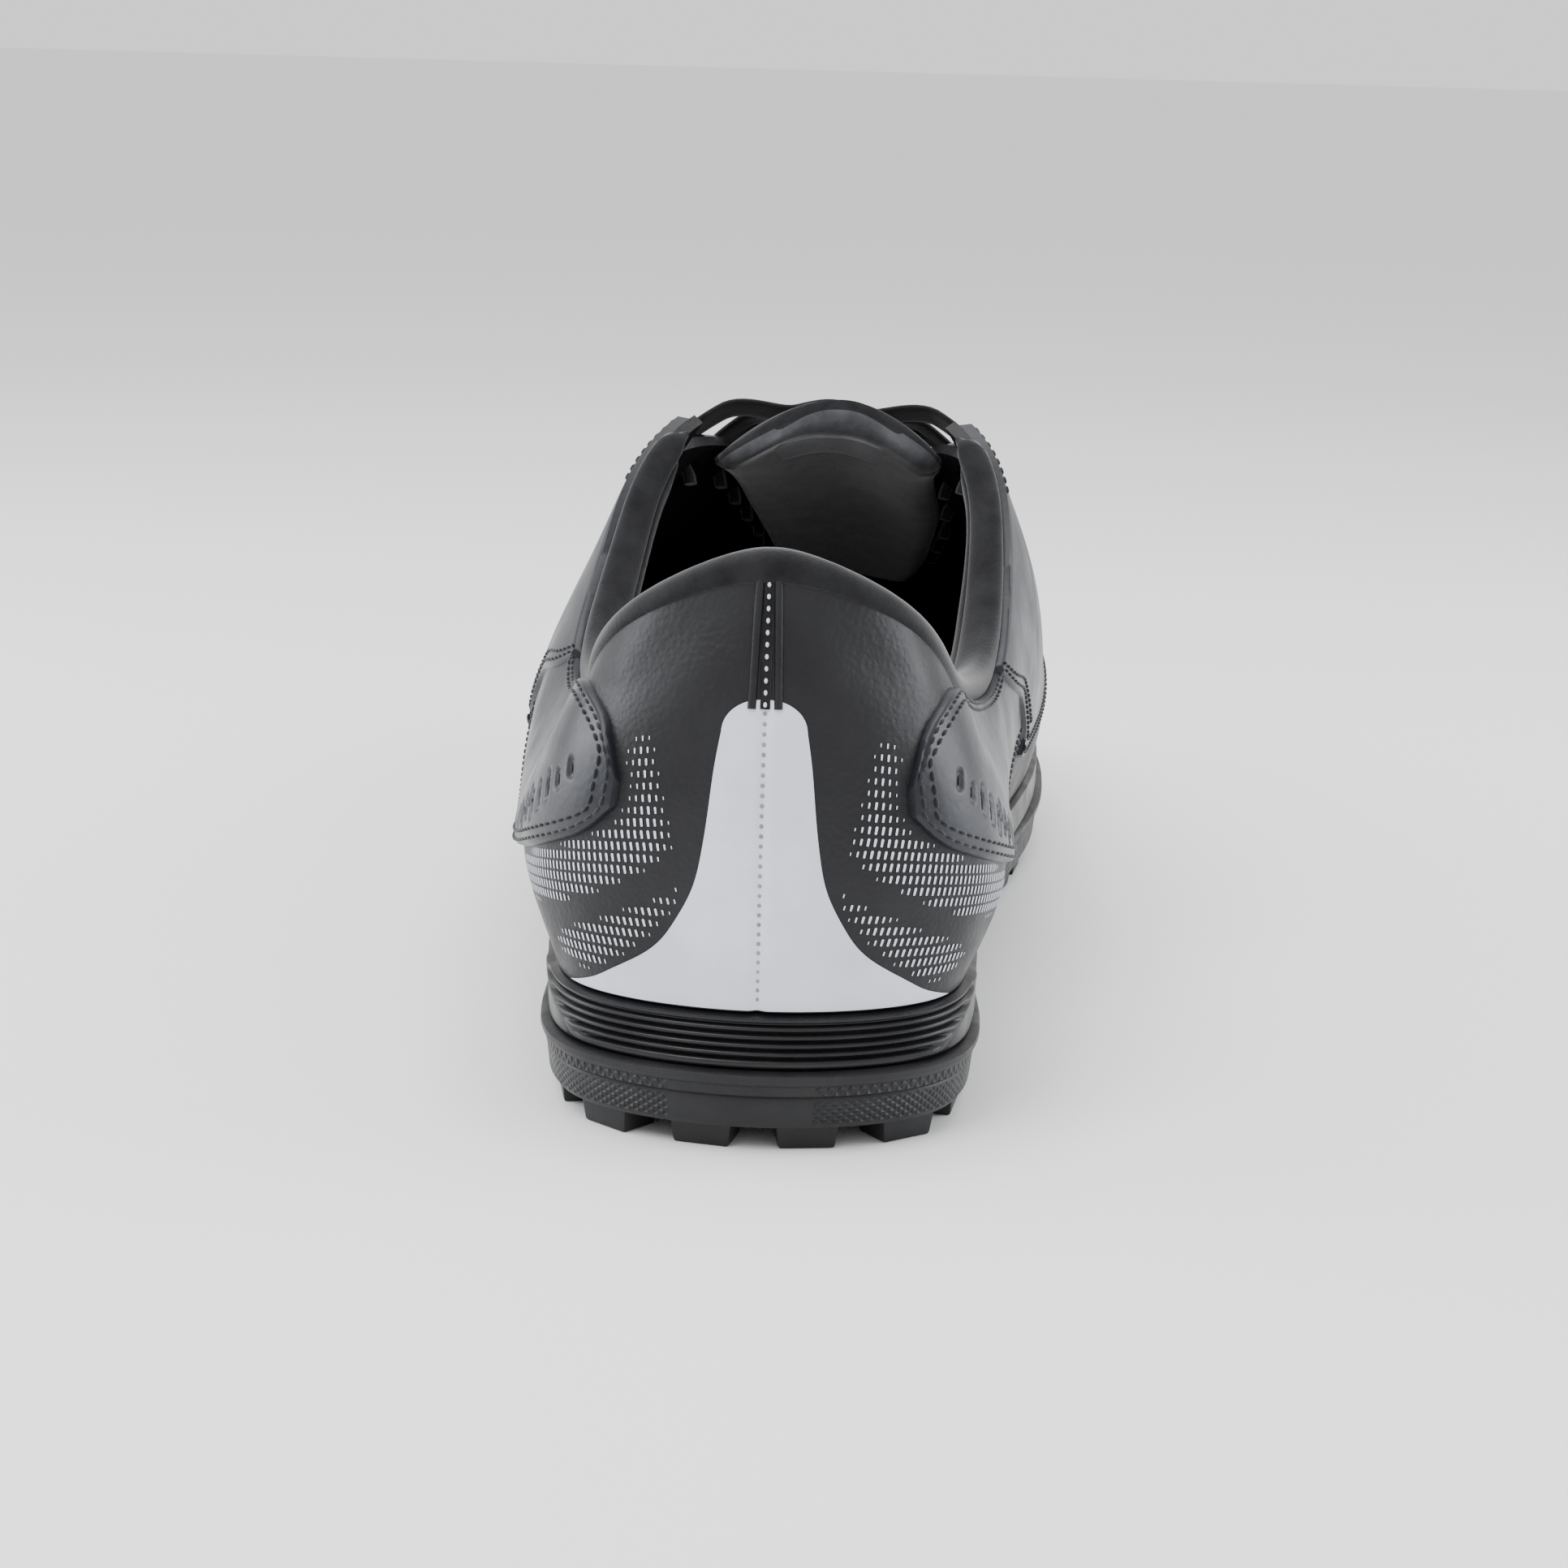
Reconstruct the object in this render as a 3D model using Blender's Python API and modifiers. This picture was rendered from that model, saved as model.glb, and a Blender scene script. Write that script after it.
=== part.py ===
"""A left turf shoe: sole with lugs, hollow upper, stitched quarters, padded collar, insole, tongue and lacing.

The toe points along +Y, the inner side of the foot is +X, and the lugs stand on z = 0.
The shoe is built on its last. Thirteen ribs a side run from the feather line, where upper
and sole meet, over belly and flank to the crest. Upper, quarters, lining and tongue are cut
from that surface, and the sole and the insole follow its feather line.
"""

import math

import bmesh
import bpy
import numpy as np

# Overall sizes, in metres
LENGTH = 0.284            # heel to toe of the outsole
BALL_WIDTH = 0.100        # across the feather line at the ball
LAST_HEIGHT = 0.080       # instep crest above the heel seat
HEEL_SOLE = 0.0210        # floor to heel seat
TOE_SPRING = 0.009        # lift of the sole under the toe tip
ARCH_RISE = 0.0045        # lift of the tread under the waist

# Walls, clearances and small sizes, in metres
CLEARANCE = 0.0003
LINING_GAP = 0.0005
TONGUE_GAP = 0.0009
QUARTER_GAP = 0.0008
WALL = 0.0022
QUARTER_THICKNESS = 0.0009
INSOLE_THICKNESS = 0.004
TONGUE_THICKNESS = 0.0055
TONGUE_HALF_TOP = 0.0245
TONGUE_HALF_TOE = 0.015
TONGUE_ABOVE_THROAT = 0.006
PAD_THICKNESS = 0.0068
PAD_DROP = 0.027
ROLL_HEIGHT = 0.0036
MIDSOLE_LEDGE = 0.0011
RIB_DEPTH = 0.0006
RIB_COUNT = 5
OUTSOLE_FLARE = 0.0025
WAIST_TRIM = 0.6          # share of the flare that is missing under the waist
LUG_HEIGHT = 0.0037
LUG_LENGTH = 0.0098
LUG_WIDTH = 0.0075
LUG_MARGIN = 0.0003        # from the feather line to the outer side of an edge lug
LUG_PITCH = 0.0147
STUD_RADIUS = 0.0042
STUD_PITCH = 0.0175
EYELETS = 6
EYELET_RADIUS = 0.0021
EYELET_INSET = 0.0065
LACE_RADIUS = 0.0015

# Stations number the ribs from the heel seam, 0, to the toe tip, 13
TOE = 13
TURN = 2 * TOE
PEAK = 5.45               # front corner of the collar
THROAT_END = 9.1          # toe end of the lace opening
FIRST_EYELET = 5.85
LAST_EYELET = 8.65
TONGUE_TOP = 5.95         # from here the tongue goes on straight

# Ribs of the last, as shares: along of LENGTH, across and out of BALL_WIDTH, up of LAST_HEIGHT.
# Each row: feather along, across | belly out, up | flank across, up | crest along, across, up
LATERAL_RIBS = (
    (0.0080, 0.000, 0.020, 0.26, 0.000, 0.690, 0.028, 0.000, 0.990),
    (0.0360, 0.245, 0.028, 0.24, 0.185, 0.690, 0.053, 0.125, 0.990),
    (0.0990, 0.325, 0.044, 0.19, 0.260, 0.620, 0.106, 0.185, 1.000),
    (0.1760, 0.350, 0.056, 0.18, 0.290, 0.490, 0.187, 0.195, 1.030),
    (0.2640, 0.372, 0.060, 0.18, 0.315, 0.520, 0.282, 0.180, 1.070),
    (0.3520, 0.402, 0.046, 0.15, 0.335, 0.630, 0.370, 0.090, 1.080),
    (0.4400, 0.440, 0.026, 0.115, 0.345, 0.580, 0.451, -0.040, 0.960),
    (0.5280, 0.475, 0.018, 0.095, 0.365, 0.450, 0.528, -0.070, 0.820),
    (0.6160, 0.495, 0.012, 0.09, 0.380, 0.350, 0.606, -0.080, 0.680),
    (0.7040, 0.488, 0.010, 0.095, 0.375, 0.305, 0.676, -0.080, 0.565),
    (0.7920, 0.446, 0.008, 0.115, 0.340, 0.295, 0.743, -0.075, 0.485),
    (0.8770, 0.350, 0.005, 0.14, 0.260, 0.300, 0.806, -0.065, 0.430),
    (0.9510, 0.195, 0.003, 0.16, 0.140, 0.305, 0.852, -0.060, 0.395),
)
TOE_RIB = (0.9915, -0.050, 0.002, 0.165, -0.055, 0.305, 0.873, -0.060, 0.375)
MEDIAL_RIBS = (
    (0.0360, 0.240, 0.030, 0.24, 0.185, 0.690, 0.053, 0.125, 0.990),
    (0.0990, 0.308, 0.045, 0.16, 0.250, 0.620, 0.106, 0.185, 1.000),
    (0.1760, 0.316, 0.048, 0.17, 0.285, 0.500, 0.187, 0.215, 1.030),
    (0.2640, 0.308, 0.054, 0.18, 0.318, 0.550, 0.282, 0.230, 1.070),
    (0.3520, 0.316, 0.056, 0.19, 0.350, 0.720, 0.370, 0.180, 1.080),
    (0.4400, 0.350, 0.050, 0.165, 0.378, 0.640, 0.451, 0.045, 0.960),
    (0.5280, 0.398, 0.034, 0.125, 0.395, 0.480, 0.528, 0.070, 0.820),
    (0.6160, 0.442, 0.022, 0.105, 0.405, 0.365, 0.606, 0.080, 0.680),
    (0.7040, 0.460, 0.016, 0.105, 0.400, 0.310, 0.676, 0.080, 0.565),
    (0.7920, 0.448, 0.010, 0.12, 0.372, 0.300, 0.743, 0.075, 0.485),
    (0.8770, 0.386, 0.006, 0.14, 0.308, 0.305, 0.806, 0.065, 0.430),
    (0.9510, 0.262, 0.003, 0.16, 0.203, 0.310, 0.852, 0.060, 0.395),
)
FLANK_ALONG = 0.45        # where a flank lies between feather and crest, along the foot

# Edge of the collar: station, height lateral, height medial, as shares of LAST_HEIGHT
TOPLINE = (
    (-1.0, 0.735, 0.730),
    (0.0, 0.806, 0.806),
    (1.0, 0.730, 0.735),
    (2.0, 0.590, 0.600),
    (3.0, 0.478, 0.490),
    (3.5, 0.452, 0.462),
    (4.0, 0.470, 0.475),
    (4.5, 0.580, 0.580),
    (5.0, 0.765, 0.765),
    (5.3, 0.885, 0.890),
    (PEAK, 0.930, 0.935),
)
# Half width of the lace opening, measured over the instep: station, share of BALL_WIDTH
THROAT = (
    (PEAK, 0.265),
    (6.0, 0.215),
    (7.0, 0.170),
    (8.0, 0.138),
    (8.7, 0.115),
)
# Thickness of the sole at the feather line: share of LENGTH, share of HEEL_SOLE
SOLE_THICKNESS = (
    (0.00, 1.00),
    (0.10, 0.99),
    (0.22, 0.93),
    (0.36, 0.87),
    (0.52, 0.86),
    (0.68, 0.91),
    (0.84, 0.92),
    (1.00, 0.88),
)
# Top of the outsole's side: share of LENGTH, share of the sole's thickness
OUTSOLE_SHARE = (
    (0.00, 0.60),
    (0.30, 0.60),
    (0.55, 0.64),
    (0.80, 0.72),
    (1.00, 0.84),
)
# Quarter on each side: station, lower edge, upper edge, as shares of the wall's height there
QUARTER = (
    (0.80, 0.480, 0.540),
    (0.95, 0.432, 0.655),
    (1.20, 0.398, 0.760),
    (1.60, 0.378, 0.865),
    (2.10, 0.362, 0.930),
    (2.90, 0.352, 0.965),
    (3.60, 0.345, 0.970),
    (4.60, 0.330, 0.970),
    (5.30, 0.300, 0.970),
)


def natural_spline(rows, column):
    """The smooth curve through one column of a table, over its first column."""
    keys = np.array([row[0] for row in rows])
    values = np.array([row[column] for row in rows])
    steps = np.diff(keys)
    rises = np.diff(values) / steps
    system = np.eye(len(keys))
    change = np.zeros(len(keys))
    for i in range(1, len(keys) - 1):
        system[i, i - 1:i + 2] = steps[i - 1], 2 * (steps[i - 1] + steps[i]), steps[i]
        change[i] = 6 * (rises[i] - rises[i - 1])
    bends = np.linalg.solve(system, change)

    def value(key):
        i = int(np.clip(np.searchsorted(keys, key) - 1, 0, len(steps) - 1))
        past, left = key - keys[i], keys[i + 1] - key
        curve = (bends[i] * left ** 3 + bends[i + 1] * past ** 3) / (6 * steps[i])
        start = (values[i] / steps[i] - bends[i] * steps[i] / 6) * left
        end = (values[i + 1] / steps[i] - bends[i + 1] * steps[i] / 6) * past
        return curve + start + end

    return value


def ease(x):
    """0 to 1 with level ends."""
    x = min(max(x, 0.0), 1.0)
    return x * x * (3 - 2 * x)


sole_thickness = natural_spline(SOLE_THICKNESS, 1)
outsole_share = natural_spline(OUTSOLE_SHARE, 1)
topline_lateral = natural_spline(TOPLINE, 1)
topline_medial = natural_spline(TOPLINE, 2)
throat_half = natural_spline(THROAT, 1)
quarter_low = natural_spline(QUARTER, 1)
quarter_high = natural_spline(QUARTER, 2)


def toe_lift(y):
    """How far toe spring lifts the tread at y."""
    past = max(y / LENGTH - 0.76, 0.0) / 0.24
    return TOE_SPRING * past ** 2


def arch_lift(y):
    """How far the tread stands off the floor under the waist at y."""
    along = y / LENGTH
    return ARCH_RISE * ease((along - 0.25) / 0.07) * ease((0.49 - along) / 0.07)


def waist(y):
    """1 between heel and ball, 0 at both."""
    along = y / LENGTH
    return ease((along - 0.08) / 0.12) * ease((0.66 - along) / 0.16)


def seat(y):
    """Height of the feather line at y: the top of the sole."""
    return sole_thickness(y / LENGTH) * HEEL_SOLE + toe_lift(y)


def parting(y):
    """Height of the line between midsole and outsole at y."""
    return sole_thickness(y / LENGTH) * HEEL_SOLE * outsole_share(y / LENGTH) + toe_lift(y)


def last_points():
    """Feather, belly, flank and crest of every rib, once round the foot."""
    sides = [(row, -1) for row in LATERAL_RIBS] + [(TOE_RIB, -1)]
    sides += [(row, 1) for row in reversed(MEDIAL_RIBS)]
    feather = np.array([(side * row[1] * BALL_WIDTH, row[0] * LENGTH) for row, side in sides])
    run = np.roll(feather, -1, axis=0) - np.roll(feather, 1, axis=0)
    run /= np.linalg.norm(run, axis=1)[:, None]
    points = np.zeros((TURN, 4, 3))
    for i, (row, side) in enumerate(sides):
        x, y = feather[i]
        out = row[2] * BALL_WIDTH
        crest_y = row[6] * LENGTH
        points[i, 0] = x, y, seat(y)
        points[i, 1] = x - run[i, 1] * out, y + run[i, 0] * out, HEEL_SOLE + row[3] * LAST_HEIGHT
        points[i, 2] = side * row[4] * BALL_WIDTH, y + FLANK_ALONG * (crest_y - y), HEEL_SOLE + row[5] * LAST_HEIGHT
        points[i, 3] = side * row[7] * BALL_WIDTH, crest_y, HEEL_SOLE + row[8] * LAST_HEIGHT
    return points


LAST = last_points()
system = 4 * np.eye(TURN) + np.roll(np.eye(TURN), 1, axis=1) + np.roll(np.eye(TURN), -1, axis=1)
change = 3 * (np.roll(LAST, -1, axis=0) - np.roll(LAST, 1, axis=0))
LAST_SLOPES = np.linalg.solve(system, change.reshape(TURN, 12)).reshape(TURN, 4, 3)


def station(u):
    """Station of a place on the turn round the foot: 0 at the heel seam, 13 at the toe tip."""
    return min(u % TURN, TURN - u % TURN)


def between_ribs(u):
    """Feather, belly, flank and crest at u, and how the crest runs there."""
    i = int(u) % TURN
    f = u - math.floor(u)
    p, q = LAST[i], LAST[(i + 1) % TURN]
    m, n = LAST_SLOPES[i], LAST_SLOPES[(i + 1) % TURN]
    at = (2 * f ** 3 - 3 * f ** 2 + 1) * p + (f ** 3 - 2 * f ** 2 + f) * m
    at = at + (3 * f ** 2 - 2 * f ** 3) * q + (f ** 3 - f ** 2) * n
    run = (6 * f ** 2 - 6 * f) * (p - q) + (3 * f ** 2 - 4 * f + 1) * m + (3 * f ** 2 - 2 * f) * n
    at[0, 2] = seat(at[0, 1]) + CLEARANCE
    return at, run[3]


def crest_direction(u, run):
    """Where a rib is heading when it reaches the crest."""
    t = station(u)
    side = -1 if u % TURN < TOE else 1
    forward = run * (1 if side < 0 else -1)
    forward = forward / np.linalg.norm(forward)
    fan = 0.5 * math.pi * ease((t - 9.5) / 3.5)
    over = math.cos(fan) * np.array((-side, 0.0, 0.0)) - math.sin(fan) * forward
    up = np.array((-side * 0.25 * ease(t / 2), 0.0, 0.97))
    front = ease((t - 4.2) / 1.3)
    direction = front * over + (1 - front) * up
    return direction / np.linalg.norm(direction)


RIB_SAMPLES = 16
ribs_made = {}


def rib(u):
    """The rib at u, from feather to crest: its points, their shares of its length, and that length."""
    key = round(u % TURN, 6)
    if key not in ribs_made:
        points, run = between_ribs(key)
        steps = np.linalg.norm(np.diff(points, axis=0), axis=1)
        rises = np.diff(points, axis=0) / steps[:, None]
        system = np.zeros((4, 4))
        change = np.zeros((4, 3))
        system[0, :2] = 2, 1
        change[0] = 3 * rises[0]
        for i in (1, 2):
            system[i, i - 1:i + 2] = steps[i], 2 * (steps[i - 1] + steps[i]), steps[i - 1]
            change[i] = 3 * (steps[i] * rises[i - 1] + steps[i - 1] * rises[i])
        system[3, 3] = 1
        change[3] = crest_direction(key, run)
        slopes = np.linalg.solve(system, change)
        line = []
        for i in range(3):
            for f in np.linspace(0, 1, RIB_SAMPLES, endpoint=False):
                at = (2 * f ** 3 - 3 * f ** 2 + 1) * points[i] + (3 * f ** 2 - 2 * f ** 3) * points[i + 1]
                bend = (f ** 3 - 2 * f ** 2 + f) * slopes[i] + (f ** 3 - f ** 2) * slopes[i + 1]
                line.append(at + bend * steps[i])
        line = np.array(line + [points[3]])
        lengths = np.concatenate(([0], np.cumsum(np.linalg.norm(np.diff(line, axis=0), axis=1))))
        ribs_made[key] = line, lengths / lengths[-1], lengths[-1]
    return ribs_made[key]


def skin(u, share):
    """A point of the last's surface: u round the foot, share up the rib."""
    line, shares, _ = rib(u)
    return np.array([np.interp(share, shares, line[:, axis]) for axis in range(3)])


def outward(u, share):
    """Direction out of the last's surface."""
    low, high = max(share - 0.015, 0.0), min(share + 0.015, 1.0)
    along = skin(u + 0.03, share) - skin(u - 0.03, share)
    up = skin(u, high) - skin(u, low)
    normal = -np.cross(along, up)
    return normal / np.linalg.norm(normal)


def off_skin(u, share, distance):
    """A point at a distance outside the last's surface, or inside it if negative."""
    return skin(u, share) + outward(u, share) * distance


def edge_share(u):
    """How far up its rib the wall of the upper goes."""
    t = station(u)
    line, shares, length = rib(u)
    if t >= THROAT_END:
        return 1.0
    if t <= PEAK:
        height = topline_lateral(t) if u % TURN < TOE else topline_medial(t)
        height = HEEL_SOLE + height * LAST_HEIGHT
        return float(np.interp(height, line[:, 2], shares))
    return 1.0 - throat_at(t) / length


def throat_at(t):
    """Half width of the lace opening at a station, round at its toe end."""
    last_straight = THROAT[-1][0]
    if t <= last_straight:
        return throat_half(t) * BALL_WIDTH
    past = (t - last_straight) / (THROAT_END - last_straight)
    return throat_half(last_straight) * BALL_WIDTH * math.sqrt(max(1 - past ** 2, 0.0))


def stations_of_the_upper():
    """Stations where the upper has a column of points, closer at the throat's round end."""
    collar = np.linspace(0, PEAK, 18)
    throat = np.linspace(PEAK, THROAT[-1][0], 9)[1:]
    turn = [THROAT[-1][0] + (THROAT_END - THROAT[-1][0]) * math.sin(a) for a in np.radians((30, 60, 90))]
    vamp = np.linspace(THROAT_END, TOE, 12)[1:]
    return [*collar, *throat, *turn, *vamp]


def once_round(stations):
    """The same stations on both sides, as places on the turn round the foot."""
    return [*stations, *[TURN - t for t in reversed(stations[1:-1])]]


def new_object(name, vertices, faces, color, roughness, collection):
    """A mesh object with its own material."""
    mesh = bpy.data.meshes.new(name)
    mesh.from_pydata([tuple(v) for v in vertices], [], faces)
    body = bmesh.new()
    body.from_mesh(mesh)
    bmesh.ops.remove_doubles(body, verts=body.verts, dist=0.00002)
    bmesh.ops.dissolve_degenerate(body, edges=body.edges, dist=0.00001)
    body.to_mesh(mesh)
    body.free()
    return place(name, mesh, color, roughness, collection)


def place(name, mesh, color, roughness, collection):
    """An object for a finished mesh, shaded smooth but for its sharp edges."""
    material = bpy.data.materials.new(name)
    material.use_nodes = True
    shader = material.node_tree.nodes["Principled BSDF"]
    shader.inputs["Base Color"].default_value = (*color, 1.0)
    shader.inputs["Roughness"].default_value = roughness
    mesh.materials.append(material)
    mesh.shade_smooth()
    mesh.set_sharp_from_angle(angle=math.radians(40))
    made = bpy.data.objects.new(name, mesh)
    collection.objects.link(made)
    return made


def closed_rows(rows):
    """Faces of a wall of closed rows of points, each row the same length, the first row at the top."""
    count = len(rows[0])
    vertices = [point for row in rows for point in row]
    faces = []
    for i in range(len(rows) - 1):
        for j in range(count):
            k = (j + 1) % count
            faces.append((i * count + j, i * count + k, (i + 1) * count + k, (i + 1) * count + j))
    return vertices, faces


def strip_caps(vertices, faces, count, rows, half):
    """Close the first and last row of a wall with strips from side to side of the foot."""
    last_row = (rows - 1) * count
    for j in range(half):
        left, left_next = j, j + 1
        right, right_next = (count - j) % count, (count - j - 1) % count
        faces.append((left_next, left, right, right_next))
        faces.append((last_row + left, last_row + left_next, last_row + right_next, last_row + right))
    return vertices, [tuple(dict.fromkeys(face)) for face in faces]


def feather_ring(stations):
    """Plan of the feather line: points and outward directions, once round the foot."""
    ring = np.array([between_ribs(u)[0][0][:2] for u in once_round(stations)])
    run = np.roll(ring, -1, axis=0) - np.roll(ring, 1, axis=0)
    run /= np.linalg.norm(run, axis=1)[:, None]
    return ring, np.column_stack((-run[:, 1], run[:, 0]))


def offset_ring(ring, out, distance, height):
    """The ring moved outward, each point at the height that a function gives for its y."""
    moved = ring + out * np.asarray(distance).reshape(-1, 1)
    return [(x, y, height(y)) for x, y in moved]


SOLE_STATIONS = list(np.linspace(0, TOE, 27))


def make_midsole(collection):
    """Foam wedge between upper and outsole, ribbed round the heel."""
    ring, out = feather_ring(SOLE_STATIONS)
    heelward = np.array([ease((4.3 - station(u)) / 1.6) for u in once_round(SOLE_STATIONS)])

    def level(share):
        """Height function: 0 on the outsole, 1 at the feather line."""
        return lambda y: parting(y) + CLEARANCE + share * (seat(y) - parting(y) - CLEARANCE)

    rows = [offset_ring(ring, out, np.full(len(ring), -0.4 * MIDSOLE_LEDGE), level(1.0))]
    rows.append(offset_ring(ring, out, np.full(len(ring), 0.6 * MIDSOLE_LEDGE), level(0.98)))
    rows.append(offset_ring(ring, out, np.full(len(ring), MIDSOLE_LEDGE), level(0.90)))
    pitch = 0.80 / RIB_COUNT
    for i in range(RIB_COUNT):
        top = 0.86 - i * pitch
        rows.append(offset_ring(ring, out, MIDSOLE_LEDGE - RIB_DEPTH * heelward, level(top - 0.20 * pitch)))
        rows.append(offset_ring(ring, out, np.full(len(ring), MIDSOLE_LEDGE), level(top - 0.65 * pitch)))
    rows.append(offset_ring(ring, out, np.full(len(ring), 0.8 * MIDSOLE_LEDGE), level(0.0)))
    vertices, faces = closed_rows(rows)
    vertices, faces = strip_caps(vertices, faces, len(ring), len(rows), len(SOLE_STATIONS) - 1)
    return new_object("midsole", vertices, faces, (0.016, 0.016, 0.018), 0.42, collection)


def tread(y):
    """Height of the tread's ground, between its lugs."""
    return LUG_HEIGHT + arch_lift(y) + toe_lift(y)


def make_outsole(collection, cutters):
    """Rubber outsole: flared band, smooth side, tread with block lugs and studs."""
    ring, out = feather_ring(SOLE_STATIONS)
    flare = OUTSOLE_FLARE * np.array([1 - WAIST_TRIM * waist(y) for _, y in ring])

    def below(drop):
        return lambda y: parting(y) - drop

    levels = (
        (0.40, below(0.0)),
        (0.95, below(0.0004)),
        (1.00, below(0.0012)),
        (0.70, below(0.0022)),
        (0.66, below(0.0036)),
        (0.50, below(0.0040)),
        (0.58, below(0.0044)),
        (0.42, lambda y: tread(y) + 0.0008),
        (0.20, tread),
    )
    rows = [offset_ring(ring, out, share * flare, height) for share, height in levels]
    vertices, faces = closed_rows(rows)
    vertices, faces = strip_caps(vertices, faces, len(ring), len(rows), len(SOLE_STATIONS) - 1)
    sole = new_object("outsole", vertices, faces, (0.020, 0.020, 0.022), 0.55, collection)
    lugs = make_lugs(cutters)
    union = sole.modifiers.new("lugs", "BOOLEAN")
    union.operation = "UNION"
    union.solver = "EXACT"
    union.object = lugs
    return sole


def walk_ring(inset, pitch, start, stop):
    """Places along the feather line moved inward: evenly spaced, between two shares of the length."""
    ring, out = feather_ring(list(np.linspace(0, TOE, 157)))
    path = ring - out * inset
    path = np.vstack((path, path[:1]))
    lengths = np.concatenate(([0], np.cumsum(np.linalg.norm(np.diff(path, axis=0), axis=1))))
    places = []
    pitch = lengths[-1] / round(lengths[-1] / pitch)
    along = 0.5 * pitch
    while along < lengths[-1]:
        at = np.array([np.interp(along, lengths, path[:, axis]) for axis in (0, 1)])
        ahead = np.array([np.interp(along + 0.002, lengths, path[:, axis]) for axis in (0, 1)])
        if start * LENGTH < at[1] < stop * LENGTH:
            places.append((at, math.atan2(ahead[1] - at[1], ahead[0] - at[0])))
        along += pitch
    return places


def make_lugs(cutters):
    """Block lugs round the edge and round studs inside, as one mesh of separate closed blocks."""
    body = bmesh.new()
    embed = 0.0012
    edge_inset = 0.5 * LUG_WIDTH + LUG_MARGIN
    for start, stop in ((-0.05, 0.27), (0.47, 1.05)):
        for at, angle in walk_ring(edge_inset, LUG_PITCH, start, stop):
            add_stud(body, at, angle, (LUG_LENGTH, LUG_WIDTH), 4, embed)
    ring, out = feather_ring(list(np.linspace(0, TOE, 79)))
    inner = ring - out * (edge_inset + 0.5 * LUG_WIDTH + STUD_RADIUS + 0.001)
    row = 0
    y = 0.03
    while y < LENGTH:
        x = -0.5 * BALL_WIDTH + (0.5 * STUD_PITCH if row % 2 else 0.0)
        while x < 0.5 * BALL_WIDTH:
            standing = y < 0.25 * LENGTH or y > 0.49 * LENGTH
            if standing and inside(inner, x, y):
                add_stud(body, (x, y), 0.0, (2 * STUD_RADIUS, 2 * STUD_RADIUS), 6, embed)
            x += STUD_PITCH
        y += STUD_PITCH * 0.87
        row += 1
    mesh = bpy.data.meshes.new("lugs")
    body.to_mesh(mesh)
    body.free()
    lugs = bpy.data.objects.new("lugs", mesh)
    lugs.hide_render = True
    lugs.display_type = "WIRE"
    cutters.objects.link(lugs)
    return lugs


def inside(ring, x, y):
    """Whether a point lies inside a closed plan."""
    crossings = 0
    for (x1, y1), (x2, y2) in zip(ring, np.roll(ring, -1, axis=0)):
        if (y1 > y) != (y2 > y) and x < x1 + (y - y1) / (y2 - y1) * (x2 - x1):
            crossings += 1
    return crossings % 2 == 1


def add_stud(body, at, angle, size, sides, embed):
    """One tapered lug from the floor, or the sprung toe, up into the outsole."""
    x, y = at
    bottom = toe_lift(y)
    top = tread(y) + embed
    radius = 0.5 * math.sqrt(2) if sides == 4 else 0.5
    made = bmesh.ops.create_cone(
        body, cap_ends=True, segments=sides, radius1=radius * 0.86, radius2=radius, depth=1.0
    )["verts"]
    turn = math.pi / sides
    for v in made:
        px = v.co.x * math.cos(turn) - v.co.y * math.sin(turn)
        py = v.co.x * math.sin(turn) + v.co.y * math.cos(turn)
        px, py = px * size[0], py * size[1]
        slope = toe_lift(y + 0.001) - toe_lift(y - 0.001)
        wx = px * math.cos(angle) - py * math.sin(angle)
        wy = px * math.sin(angle) + py * math.cos(angle)
        lift = slope / 0.002 * wy if v.co.z < 0 else 0.0
        v.co = x + wx, y + wy, bottom + lift + (v.co.z + 0.5) * (top - bottom)


UPPER_ROWS = (0.0, 0.09, 0.19, 0.31, 0.44, 0.57, 0.70, 0.82, 0.92, 1.0)


def make_upper(collection, cutters):
    """The hollow upper: the last's surface up to its edge, given a wall."""
    stations = stations_of_the_upper()
    turn = once_round(stations)
    heights = UPPER_ROWS
    rows = len(heights)
    grid = []
    for u in turn:
        edge = edge_share(u)
        grid.append([skin(u, edge * h) for h in heights])
    for i, u in enumerate(turn):
        j = (len(turn) - i) % len(turn)
        if station(u) >= THROAT_END and i < j:
            ridge = (grid[i][-1] + grid[j][-1]) / 2
            grid[i][-1] = ridge
            grid[j][-1] = ridge
    vertices = [point for column in grid for point in column]
    faces = []
    for i in range(len(turn)):
        k = (i + 1) % len(turn)
        for j in range(rows - 1):
            faces.append((i * rows + j, i * rows + j + 1, k * rows + j + 1, k * rows + j))
    upper = new_object("upper", vertices, faces, (0.020, 0.020, 0.023), 0.45, collection)
    wall = upper.modifiers.new("wall", "SOLIDIFY")
    wall.thickness = WALL
    wall.offset = -1
    holes = upper.modifiers.new("eyelets", "BOOLEAN")
    holes.operation = "DIFFERENCE"
    holes.solver = "EXACT"
    holes.object = make_eyelet_cutters(cutters)
    return upper


def eyelet_places():
    """Eyelets as (place on the turn, share up the rib), in pairs from the collar to the toe."""
    pairs = []
    for t in np.linspace(FIRST_EYELET, LAST_EYELET, EYELETS):
        pair = []
        for u in (t, TURN - t):
            pair.append((u, 1.0 - (throat_at(t) + EYELET_INSET) / rib(u)[2]))
        pairs.append(pair)
    return pairs


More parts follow.
